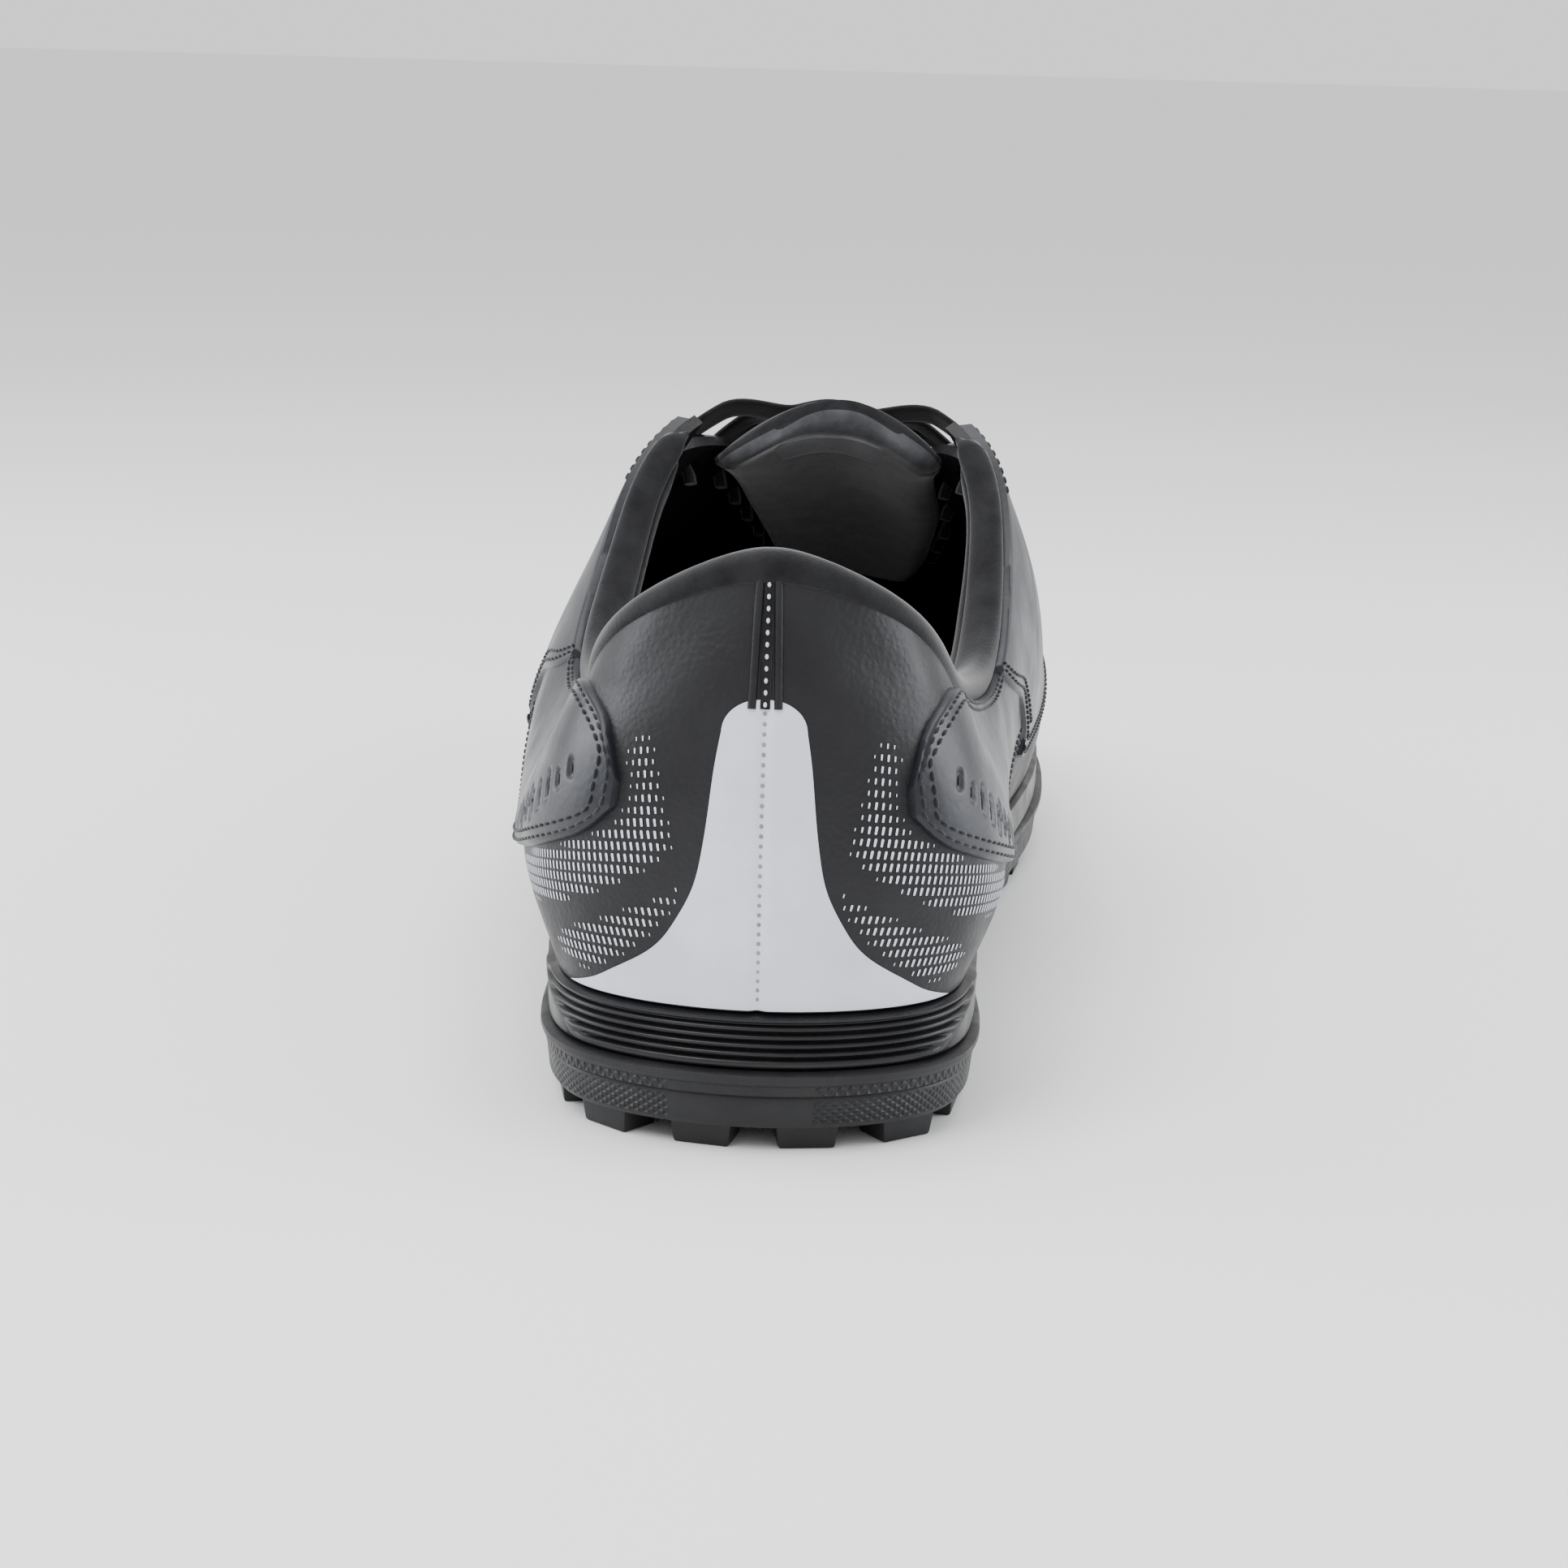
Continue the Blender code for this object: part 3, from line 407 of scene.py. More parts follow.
def between_ribs(u):
    """Feather, belly, flank and crest at u, and how the crest runs there."""
    i = int(u) % TURN
    f = u - math.floor(u)
    p, q = LAST[i], LAST[(i + 1) % TURN]
    m, n = LAST_SLOPES[i], LAST_SLOPES[(i + 1) % TURN]
    at = (2 * f ** 3 - 3 * f ** 2 + 1) * p + (f ** 3 - 2 * f ** 2 + f) * m
    at = at + (3 * f ** 2 - 2 * f ** 3) * q + (f ** 3 - f ** 2) * n
    run = (6 * f ** 2 - 6 * f) * (p - q) + (3 * f ** 2 - 4 * f + 1) * m + (3 * f ** 2 - 2 * f) * n
    at[0, 2] = seat(at[0, 1]) + CLEARANCE
    return at, run[3]


def crest_direction(u, run):
    """Where a rib is heading when it reaches the crest."""
    t = station(u)
    side = -1 if u % TURN < TOE else 1
    forward = run * (1 if side < 0 else -1)
    forward = forward / np.linalg.norm(forward)
    fan = 0.5 * math.pi * ease((t - 9.5) / 3.5)
    over = math.cos(fan) * np.array((-side, 0.0, 0.0)) - math.sin(fan) * forward
    up = np.array((-side * 0.25 * ease(t / 2), 0.0, 0.97))
    front = ease((t - 4.2) / 1.3)
    direction = front * over + (1 - front) * up
    return direction / np.linalg.norm(direction)


RIB_SAMPLES = 40
ribs_made = {}


def rib(u):
    """The rib at u, from feather to crest: its points, their shares of its length, and that length."""
    key = round(u % TURN, 5)
    if key not in ribs_made:
        points, run = between_ribs(key)
        steps = np.linalg.norm(np.diff(points, axis=0), axis=1)
        rises = np.diff(points, axis=0) / steps[:, None]
        matrix = np.zeros((4, 4))
        wanted = np.zeros((4, 3))
        matrix[0, :2] = 2, 1
        wanted[0] = 3 * rises[0]
        for i in (1, 2):
            matrix[i, i - 1:i + 2] = steps[i], 2 * (steps[i - 1] + steps[i]), steps[i - 1]
            wanted[i] = 3 * (steps[i] * rises[i - 1] + steps[i - 1] * rises[i])
        matrix[3, 3] = 1
        wanted[3] = crest_direction(key, run)
        slopes = np.linalg.solve(matrix, wanted)
        f = np.linspace(0, 1, RIB_SAMPLES, endpoint=False)[:, None]
        line = []
        for i in range(3):
            at = (2 * f ** 3 - 3 * f ** 2 + 1) * points[i] + (3 * f ** 2 - 2 * f ** 3) * points[i + 1]
            bend = (f ** 3 - 2 * f ** 2 + f) * slopes[i] + (f ** 3 - f ** 2) * slopes[i + 1]
            line.append(at + bend * steps[i])
        line = np.vstack((*line, points[3]))
        lengths = np.concatenate(([0], np.cumsum(np.linalg.norm(np.diff(line, axis=0), axis=1))))
        ribs_made[key] = line, lengths / lengths[-1], lengths[-1]
    return ribs_made[key]


def along_rib(u, shares):
    """Points of the last's surface on the rib at u."""
    line, known, _ = rib(u)
    return np.stack([np.interp(shares, known, line[:, axis]) for axis in range(3)], axis=-1)


def normals_on_rib(u, shares):
    """Directions out of the last's surface on the rib at u."""
    level = np.minimum(shares, 0.97) if station(u) > THROAT_END else shares
    along = along_rib(u + 0.03, level) - along_rib(u - 0.03, level)
    up = along_rib(u, np.minimum(shares + 0.012, 1.0)) - along_rib(u, np.maximum(shares - 0.012, 0.0))
    out = -np.cross(along, up)
    return out / np.linalg.norm(out, axis=-1)[:, None]


def off_rib(u, shares, lifts, with_relief=True):
    """Points at distances outside the last on the rib at u, with the skin's relief if wanted."""
    shares = np.asarray(shares, float)
    points = along_rib(u, shares)
    lifts = np.asarray(lifts, float) + np.zeros(len(shares))
    if with_relief:
        lifts = lifts + relief(points)
    return points + normals_on_rib(u, shares) * lifts[:, None]


def throat_at(t):
    """Half width of the lace opening at a station, round at its toe end."""
    last_straight = THROAT[-1][0]
    if t <= last_straight:
        return throat_half(t) * BALL_WIDTH
    past = (t - last_straight) / (THROAT_END - last_straight)
    return throat_half(last_straight) * BALL_WIDTH * math.sqrt(max(1 - past ** 2, 0.0))


def edge_share(u):
    """How far up its rib the wall of the upper goes."""
    t = station(u)
    line, shares, length = rib(u)
    if t >= THROAT_END:
        return 1.0
    if t <= PEAK:
        height = topline_lateral(t) if u % TURN < TOE else topline_medial(t)
        height = HEEL_SOLE + height * LAST_HEIGHT
        return float(np.interp(height, line[:, 2], shares))
    return 1.0 - throat_at(t) / length


def place_on_side(t, side):
    """The place on the turn for a station on one side: -1 lateral, 1 medial."""
    return t if side < 0 else (TURN - t) % TURN


def path_on_wall(stops, side, step=0.0008):
    """Even steps along a path of (station, share of the wall's height), as places and shares."""
    stops = np.array(stops, float)

    def walk(at):
        """Places on the turn and shares at places along the list of stops."""
        ts = np.interp(at, range(len(stops)), stops[:, 0])
        hs = np.interp(at, range(len(stops)), stops[:, 1])
        us = [place_on_side(t, side) if t >= 0 else place_on_side(-t, -side) for t in ts]
        return [(u, edge_share(u) * h) for u, h in zip(us, hs)]

    fine = np.linspace(0, len(stops) - 1, 40 * len(stops))
    points = np.array([along_rib(u, np.array([share]))[0] for u, share in walk(fine)])
    lengths = np.concatenate(([0], np.cumsum(np.linalg.norm(np.diff(points, axis=0), axis=1))))
    return walk(np.interp(np.arange(0, lengths[-1], step), lengths, fine))


def nearest(points, line):
    """Distance from every point to the nearest point of a line of points."""
    best = np.full(len(points), 1e9)
    for start in range(0, len(line), 40):
        part = line[start:start + 40]
        away = np.linalg.norm(points[:, None, :] - part[None, :, :], axis=2)
        best = np.minimum(best, away.min(axis=1))
    return best


def crease_lines():
    """Every crease as width, depth and a line of points on the last, on both sides of the foot."""
    lines = []
    for width, depth, stops in CREASES:
        for side in (-1, 1):
            walk = path_on_wall(stops, side, step=0.0015)
            points = np.array([along_rib(u, np.array([share]))[0] for u, share in walk])
            lines.append((width, depth, points))
    heel = edge_share(0)
    shares = np.linspace(0.0, heel, 130)
    lines.append((GROOVE_WIDTH, GROOVE_DEPTH, along_rib(0.0, shares)))
    return lines


creases = crease_lines()


def relief(points):
    """How far the skin stands off the last at some points of it: creases and the heel's seam."""
    height = np.zeros(len(points))
    for width, depth, line in creases:
        middle = line.mean(axis=0)
        reach = np.linalg.norm(line - middle, axis=1).max() + 3 * width
        close = np.linalg.norm(points - middle, axis=1) < reach
        if close.any():
            away = nearest(points[close], line)
            height[close] -= depth * np.exp(-(away / width) ** 2)
    return height


def feather_ring(stations):
    """Plan of the feather line: points and outward directions, once round the foot."""
    turn = [*stations, *[TURN - t for t in reversed(stations[1:-1])]]
    ring = np.array([between_ribs(u)[0][0][:2] for u in turn])
    run = np.roll(ring, -1, axis=0) - np.roll(ring, 1, axis=0)
    run /= np.linalg.norm(run, axis=1)[:, None]
    return ring, np.column_stack((-run[:, 1], run[:, 0])), [station(u) for u in turn]


def middle_of_the_plan():
    """Middle of the outsole's plan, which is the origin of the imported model."""
    ring, out, _ = feather_ring(list(np.linspace(0, TOE, 27)))
    plan = ring + out * OUTSOLE_FLARE
    return (plan.min(axis=0) + plan.max(axis=0)) / 2


SHIFT = np.array((*-middle_of_the_plan(), 0.0))


# Materials


def node(tree, kind, sockets=(), **settings):
    """A shader node with some of its inputs and settings."""
    made = tree.nodes.new(kind)
    for name, value in settings.items():
        setattr(made, name, value)
    for name, value in sockets:
        made.inputs[name].default_value = value
    return made


def new_material(name, roughness, **sockets):
    """A material, its node tree and its Principled shader."""
    material = bpy.data.materials.new(name)
    material.use_nodes = True
    tree = material.node_tree
    shader = tree.nodes["Principled BSDF"]
    shader.inputs["Roughness"].default_value = roughness
    for socket, value in sockets.items():
        shader.inputs[socket.replace("_", " ")].default_value = value
    return material, tree, shader


def vary_colour(tree, shader, dark, light, scale, detail=4.0):
    """Base colour wandering between two colours."""
    where = node(tree, "ShaderNodeTexCoord")
    cloud = node(tree, "ShaderNodeTexNoise", [("Scale", scale), ("Detail", detail), ("Roughness", 0.6)])
    ramp = node(tree, "ShaderNodeValToRGB")
    ramp.color_ramp.elements[0].position = 0.32
    ramp.color_ramp.elements[1].position = 0.70
    ramp.color_ramp.elements[0].color = (*dark, 1.0)
    ramp.color_ramp.elements[1].color = (*light, 1.0)
    tree.links.new(where.outputs["Object"], cloud.inputs["Vector"])
    tree.links.new(cloud.outputs["Fac"], ramp.inputs["Fac"])
    tree.links.new(ramp.outputs["Color"], shader.inputs["Base Color"])
    return where, cloud


def vary_roughness(tree, shader, low, high, scale):
    """Roughness wandering between two values."""
    where = node(tree, "ShaderNodeTexCoord")
    cloud = node(tree, "ShaderNodeTexNoise", [("Scale", scale), ("Detail", 3.0)])
    limits = [("From Min", 0.3), ("From Max", 0.7), ("To Min", low), ("To Max", high)]
    spread = node(tree, "ShaderNodeMapRange", limits)
    tree.links.new(where.outputs["Object"], cloud.inputs["Vector"])
    tree.links.new(cloud.outputs["Fac"], spread.inputs["Value"])
    tree.links.new(spread.outputs["Result"], shader.inputs["Roughness"])


def add_bump(tree, shader, height, strength, distance):
    """A bump of some height on the shader, over any bump that it has."""
    bump = node(tree, "ShaderNodeBump", [("Strength", strength), ("Distance", distance)])
    tree.links.new(height, bump.inputs["Height"])
    if shader.inputs["Normal"].is_linked:
        tree.links.new(shader.inputs["Normal"].links[0].from_socket, bump.inputs["Normal"])
    tree.links.new(bump.outputs["Normal"], shader.inputs["Normal"])


def leather(name, dark, light, roughness, pebble, strength, coat, stretch=(1.0, 1.0, 1.0)):
    """Coated leather: pebbles of a size, finer grain on them, and slow changes of colour and gloss."""
    material, tree, shader = new_material(
        name, roughness, Coat_Weight=coat, Coat_Roughness=0.32, Specular_IOR_Level=0.28
    )
    vary_colour(tree, shader, dark, light, 45.0)
    vary_roughness(tree, shader, roughness - 0.06, roughness + 0.09, 120.0)
    where = node(tree, "ShaderNodeTexCoord")
    turn = node(tree, "ShaderNodeMapping", [("Scale", stretch)])
    cells = node(tree, "ShaderNodeTexVoronoi", [("Scale", 1.0 / pebble)], feature="SMOOTH_F1")
    fine = node(tree, "ShaderNodeTexNoise", [("Scale", 2.6 / pebble), ("Detail", 5.0)])
    tree.links.new(where.outputs["Object"], turn.inputs["Vector"])
    tree.links.new(turn.outputs["Vector"], cells.inputs["Vector"])
    tree.links.new(turn.outputs["Vector"], fine.inputs["Vector"])
    add_bump(tree, shader, cells.outputs["Distance"], strength, 0.25 * pebble)
    add_bump(tree, shader, fine.outputs["Fac"], 0.6 * strength, 0.12 * pebble)
    return material


def crossed_waves(tree, pitch, angle, stretch=1.0):
    """Height of two sets of bands that cross at an angle, from the surface's own lengths in metres."""
    where = node(tree, "ShaderNodeTexCoord")
    heights = []
    for turn in (-angle, angle):
        mapping = node(
            tree, "ShaderNodeMapping", [("Rotation", (0.0, 0.0, turn)), ("Scale", (1.0, stretch, 1.0))]
        )
        waves = node(tree, "ShaderNodeTexWave", [("Scale", 0.314 / pitch), ("Distortion", 0.0)])
        tree.links.new(where.outputs["UV"], mapping.inputs["Vector"])
        tree.links.new(mapping.outputs["Vector"], waves.inputs["Vector"])
        heights.append(waves.outputs["Fac"])
    lower = node(tree, "ShaderNodeMath", operation="MINIMUM")
    tree.links.new(heights[0], lower.inputs[0])
    tree.links.new(heights[1], lower.inputs[1])
    return lower.outputs["Value"]


def woven(name, dark, light, roughness, pitch, angle, strength, sheen, stretch=1.0):
    """Cloth or knit with threads that cross, a little fuzz, and sheen."""
    material, tree, shader = new_material(
        name, roughness, Sheen_Weight=sheen, Sheen_Roughness=0.4, Specular_IOR_Level=0.15
    )
    vary_colour(tree, shader, dark, light, 160.0)
    height = crossed_waves(tree, pitch, angle, stretch)
    add_bump(tree, shader, height, strength, 0.45 * pitch)
    where = node(tree, "ShaderNodeTexCoord")
    fuzz = node(tree, "ShaderNodeTexNoise", [("Scale", 1.1 / pitch), ("Detail", 6.0)])
    tree.links.new(where.outputs["Object"], fuzz.inputs["Vector"])
    add_bump(tree, shader, fuzz.outputs["Fac"], 0.35, 0.2 * pitch)
    return material


def rubber(name, dark, light, roughness, grain, strength):
    """Moulded rubber or foam with a fine even grain."""
    material, tree, shader = new_material(name, roughness, Specular_IOR_Level=0.3)
    vary_colour(tree, shader, dark, light, 70.0)
    vary_roughness(tree, shader, roughness - 0.07, roughness + 0.08, 200.0)
    where = node(tree, "ShaderNodeTexCoord")
    fine = node(tree, "ShaderNodeTexNoise", [("Scale", 1.0 / grain), ("Detail", 4.0)])
    tree.links.new(where.outputs["Object"], fine.inputs["Vector"])
    add_bump(tree, shader, fine.outputs["Fac"], strength, 0.5 * grain)
    return material


def patterned_rubber(name, dark, light, roughness, pitch):
    """Moulded rubber with small raised diamonds."""
    material = rubber(name, dark, light, roughness, 0.0005, 0.2)
    tree = material.node_tree
    shader = tree.nodes["Principled BSDF"]
    add_bump(tree, shader, crossed_waves(tree, pitch, math.radians(38)), 0.9, 0.3 * pitch)
    return material


NIGHT = (0.005, 0.005, 0.006)
COAL = (0.016, 0.016, 0.018)
skin_leather = leather(
    "upper_leather", (0.004, 0.004, 0.005), (0.011, 0.011, 0.013), 0.46, 0.0008, 0.42, 0.04
)
panel_leather = leather(
    "quarter_leather", (0.006, 0.007, 0.010), (0.014, 0.016, 0.022), 0.36, 0.0011, 0.16, 0.14
)
print_white = leather("print_white", (0.56, 0.57, 0.64), (0.70, 0.71, 0.79), 0.52, 0.0006, 0.22, 0.0)
dash_white = rubber("dash_white", (0.58, 0.59, 0.66), (0.68, 0.69, 0.76), 0.5, 0.0006, 0.1)
foam_black = rubber("midsole_foam", (0.004, 0.004, 0.005), (0.010, 0.010, 0.011), 0.34, 0.0004, 0.10)
tread_black = rubber("outsole_rubber", (0.006, 0.006, 0.007), (0.013, 0.013, 0.014), 0.44, 0.0005, 0.20)
diamond_black = patterned_rubber(
    "outsole_diamonds", (0.006, 0.006, 0.007), (0.013, 0.013, 0.014), 0.42, 0.0013
)
binding_knit = woven("binding_knit", NIGHT, COAL, 0.85, 0.0008, 0.9, 0.06, 0.35)
lining_knit = woven("lining_knit", NIGHT, (0.018, 0.018, 0.020), 0.9, 0.0013, 0.75, 0.08, 0.30)
suede_grey = woven(
    "tongue_suede", (0.030, 0.030, 0.034), (0.085, 0.085, 0.092), 0.95, 0.0007, 0.6, 0.10, 0.6
)
tongue_cloth = woven(
    "tongue_cloth", (0.006, 0.006, 0.007), (0.018, 0.018, 0.020), 0.85, 0.0012, 0.78, 0.06, 0.4
)
label_cloth = woven("label_cloth", (0.12, 0.12, 0.13), (0.18, 0.18, 0.19), 0.8, 0.0005, 0.78, 0.1, 0.3)
insole_cloth = woven(
    "insole_cloth", (0.010, 0.010, 0.012), (0.026, 0.026, 0.029), 0.9, 0.0010, 0.78, 0.08, 0.3
)
lace_cloth = woven("lace_cord", NIGHT, COAL, 0.8, 0.0009, 0.95, 0.06, 0.35)
thread_black = woven(
    "thread_black", (0.010, 0.010, 0.012), (0.028, 0.028, 0.031), 0.6, 0.0005, 0.9, 0.1, 0.3
)
thread_grey = woven("thread_grey", (0.20, 0.20, 0.22), (0.34, 0.34, 0.37), 0.6, 0.0005, 0.9, 0.1, 0.3)
# Near-black finish for the floors of the pressed slots: painted shade in the recesses
slot_painted_shade = rubber("slot_painted_shade", (0.002, 0.002, 0.002), (0.004, 0.004, 0.005), 0.6, 0.0005, 0.2)


# Meshes


def piece(name, vertices, faces, materials, uv=None, sharp=40.0):
    """A mesh in the shoe's frame that rides on the shoe and takes its finish from the materials given."""
    mesh = bpy.data.meshes.new(name)
    mesh.from_pydata((np.asarray(vertices) + SHIFT).tolist(), [], [tuple(face) for face in faces])
    if uv is not None:
        layer = mesh.uv_layers.new(name="lengths")
        layer.data.foreach_set("uv", np.asarray(uv, dtype=np.float32).ravel())
    for material in materials:
        mesh.materials.append(material)
    mesh.shade_smooth()
    mesh.set_sharp_from_angle(angle=math.radians(sharp))
    made = bpy.data.objects.new(name, mesh)
    bpy.context.scene.collection.objects.link(made)
    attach(made, "root")
    return made


def running_lengths(points, closed):
    """Lengths along a row of points, from 0, with the step back to the first if it is closed."""
    if closed:
        points = np.vstack((points, points[:1]))
    return np.concatenate(([0], np.cumsum(np.linalg.norm(np.diff(points, axis=0), axis=1))))


def grid_piece(name, points, materials, closed=False, ring=False, caps=False, strips=False, sharp=40.0):
    """A piece from a grid of points, columns by rows, seen from outside with the rows going up."""
    columns, rows = points.shape[:2]
    spans = (np.arange(columns if closed else columns - 1), np.arange(rows if ring else rows - 1))
    i, j = np.meshgrid(*spans, indexing="ij")
    k, m = (i + 1) % columns, (j + 1) % rows
    faces = np.stack((i * rows + j, i * rows + m, k * rows + m, k * rows + j), axis=-1)
    faces = faces.reshape(-1, 4).tolist()
    along = running_lengths(points[:, rows // 2], closed)
    across = running_lengths(points[columns // 2], ring)
    corners = ((i, j), (i, j + 1), (i + 1, j + 1), (i + 1, j))
    uv = np.stack([np.stack((along[a], across[b]), axis=-1) for a, b in corners], axis=2)
    uv = uv.reshape(-1, 2).tolist()
    vertices = points.reshape(-1, 3)
    if caps:
        end = (columns - 1) * rows
        faces += [list(reversed(range(rows))), [end + n for n in range(rows)]]
        uv += [(0.0, 0.0)] * (2 * rows)
    if strips:
        for row, order in ((0, 1), (rows - 1, -1)):
            for n in range(columns // 2):
                corners = [n, n + 1, (columns - n - 1) % columns, (columns - n) % columns][::order]
                face = list(dict.fromkeys(corner * rows + row for corner in corners))
                if len(face) > 2:
                    faces.append(face)
                    uv += [(vertices[corner][0], vertices[corner][1]) for corner in face]
    return piece(name, vertices, faces, materials, uv, sharp)


def ribbon(name, walk, profile, materials, lift=0.0, caps=True, sharp=50.0):
    """A profile of (across, up) points swept along a path on the wall."""
    points = np.array([off_rib(u, [share], [lift])[0] for u, share in walk])
    ups = np.array([normals_on_rib(u, np.array([share]))[0] for u, share in walk])
    runs = np.gradient(points, axis=0)
    runs /= np.linalg.norm(runs, axis=1)[:, None]
    sides = np.cross(ups, runs)
    grid = np.stack([points + sides * a + ups * b for a, b in profile], axis=1)
    return grid_piece(name, grid, materials, ring=True, caps=caps, sharp=sharp)


def half_round(width, height, count=9):
    """Profile of a low bead that is sunk a little in what it lies on."""
    angles = np.linspace(math.pi, 0, count)
    top = [(0.5 * width * math.cos(a), height * math.sin(a)) for a in angles]
    return [(-0.5 * width, -0.5 * height), *top, (0.5 * width, -0.5 * height)]


DOME_SEGMENTS = 8


def domes(name, places, sizes, materials):
    """Small domes as one mesh: a place is a point, a run and an up, a size is length, width, height."""
    angles = np.linspace(0, 2 * math.pi, DOME_SEGMENTS, endpoint=False)
    ring = [(math.cos(a), math.sin(a)) for a in angles]
    shape = [(0.5 * x, 0.5 * y, -0.4) for x, y in ring]
    shape += [(0.5 * x, 0.5 * y, 0.25) for x, y in ring]
    shape += [(0.32 * x, 0.32 * y, 0.85) for x, y in ring]
    shape = np.array(shape + [(0.0, 0.0, 1.0)])
    pattern = []
    for level in (0, DOME_SEGMENTS):
        for n in range(DOME_SEGMENTS):
            m = (n + 1) % DOME_SEGMENTS
            pattern.append((level + n, level + m, level + DOME_SEGMENTS + m, level + DOME_SEGMENTS + n))
    top = 2 * DOME_SEGMENTS
    for n in range(DOME_SEGMENTS):
        pattern.append((top + n, top + (n + 1) % DOME_SEGMENTS, top + DOME_SEGMENTS))
    vertices, faces = [], []
    for (at, run, up), size in zip(places, sizes):
        side = np.cross(up, run)
        start = len(vertices) * len(shape)
        local = shape * np.array(size)
        vertices.append(at + local[:, :1] * run + local[:, 1:2] * side + local[:, 2:] * up)
        faces += [tuple(start + corner for corner in face) for face in pattern]
    return piece(name, np.vstack(vertices), faces, materials, sharp=60.0)


def stitch_places(walk, lift):
    """A place for a stitch at every step of a path on the wall."""
    points = np.array([off_rib(u, [share], [lift])[0] for u, share in walk])
    ups = np.array([normals_on_rib(u, np.array([share]))[0] for u, share in walk])
    runs = np.gradient(points, axis=0)
    runs -= ups * (runs * ups).sum(axis=1)[:, None]
    runs /= np.linalg.norm(runs, axis=1)[:, None]
    return list(zip(points, runs, ups))


def frozen(made):
    """Work the object's modifiers into its mesh."""
    bpy.context.view_layer.update()
    shaped = made.evaluated_get(bpy.context.evaluated_depsgraph_get())
    mesh = bpy.data.meshes.new_from_object(shaped)
    made.modifiers.clear()
    made.data = mesh


# Upper


def upper_stations():
    """Stations of the upper's columns, closer at the collar's peak and at the throat's round end."""
    last_straight = THROAT[-1][0]
    collar = np.linspace(0, PEAK, 120)
    throat = np.linspace(PEAK, last_straight, 60)[1:]
    angles = np.linspace(0, math.pi / 2, 12)[1:]
    turn = [last_straight + (THROAT_END - last_straight) * math.sin(a) for a in angles]
    vamp = np.linspace(THROAT_END, TOE, 64)[1:]
    return [*collar, *throat, *turn, *vamp]


def eyelet_places():
    """Eyelets as (place on the turn, share up the rib), in pairs from the collar to the toe."""
    pairs = []
    for t in np.linspace(FIRST_EYELET, LAST_EYELET, EYELETS):
        pairs.append([(u, 1.0 - (throat_at(t) + EYELET_INSET) / rib(u)[2]) for u in (t, TURN - t)])
    return pairs


def eyelet_rods():
    """Rods through the wall at the eyelets, to cut them with."""
    body = bmesh.new()
    for pair in eyelet_places():
        for u, share in pair:
            middle = off_rib(u, [share], [0.0])[0] + SHIFT
            axis = Vector(normals_on_rib(u, np.array([share]))[0])
            turn = axis.to_track_quat("Z", "Y").to_matrix().to_4x4()
            bmesh.ops.create_cone(
                body, cap_ends=True, segments=20, radius1=EYELET_RADIUS, radius2=EYELET_RADIUS,
                depth=6 * WALL, matrix=Matrix.Translation(Vector(middle)) @ turn,
            )
    mesh = bpy.data.meshes.new("eyelet_rods")
    body.to_mesh(mesh)
    body.free()
    rods = bpy.data.objects.new("eyelet_rods", mesh)
    bpy.context.scene.collection.objects.link(rods)
    return rods


def cut_eyelets(made, thickness):
    """Give a surface its thickness and cut the eyelets through it."""
    rods = eyelet_rods()
    wall = made.modifiers.new("wall", "SOLIDIFY")
    wall.thickness = thickness
    wall.offset = -1
    holes = made.modifiers.new("eyelets", "BOOLEAN")
    holes.operation = "DIFFERENCE"
    holes.solver = "EXACT"
    holes.object = rods
    frozen(made)
    made.data.shade_smooth()
    made.data.set_sharp_from_angle(angle=math.radians(40))
    bpy.data.objects.remove(rods)


def make_upper():
    """The skin of the upper, with its creases, wall and eyelets."""
    stations = upper_stations()
    turn = [*stations, *[TURN - t for t in reversed(stations[1:-1])]]
    heights = np.linspace(0, 1, 48)
    grid = np.array([off_rib(u, edge_share(u) * heights, 0.0) for u in turn])
    for i, u in enumerate(turn):
        j = (len(turn) - i) % len(turn)
        if station(u) >= THROAT_END and i < j:
            ridge = (grid[i, -1] + grid[j, -1]) / 2
            grid[i, -1] = ridge
            grid[j, -1] = ridge
    skin = grid_piece("upper_skin", grid, [skin_leather], closed=True)
    body = bmesh.new()
    body.from_mesh(skin.data)
    bmesh.ops.remove_doubles(body, verts=body.verts, dist=0.00003)
    body.to_mesh(skin.data)
    body.free()
    cut_eyelets(skin, WALL)
    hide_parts("upper")


def panel(side, ends, low, high, lift, columns, rows):
    """A panel that lies on the skin between two edges, with round edges of its own."""
    ts = np.linspace(*ends, columns)
    us = [place_on_side(t, side) for t in ts]
    shares = np.array([
        edge_share(u) * np.linspace(low(t), high(t), rows) for t, u in zip(ts, us)
    ])
    flat = np.array([along_rib(u, row) for u, row in zip(us, shares)])
    border = np.vstack((flat[0], flat[-1], flat[:, 0], flat[ts < THROAT_END, -1]))
    away = nearest(flat.reshape(-1, 3), border).reshape(columns, rows)
    rise = np.sqrt(1 - (1 - np.clip(away / PANEL_EDGE, 0, 1)) ** 2)
    grid = np.array([
        off_rib(u, row, lift * up - 0.0001) for u, row, up in zip(us, shares, rise)
    ])
    return grid if side < 0 else grid[::-1]


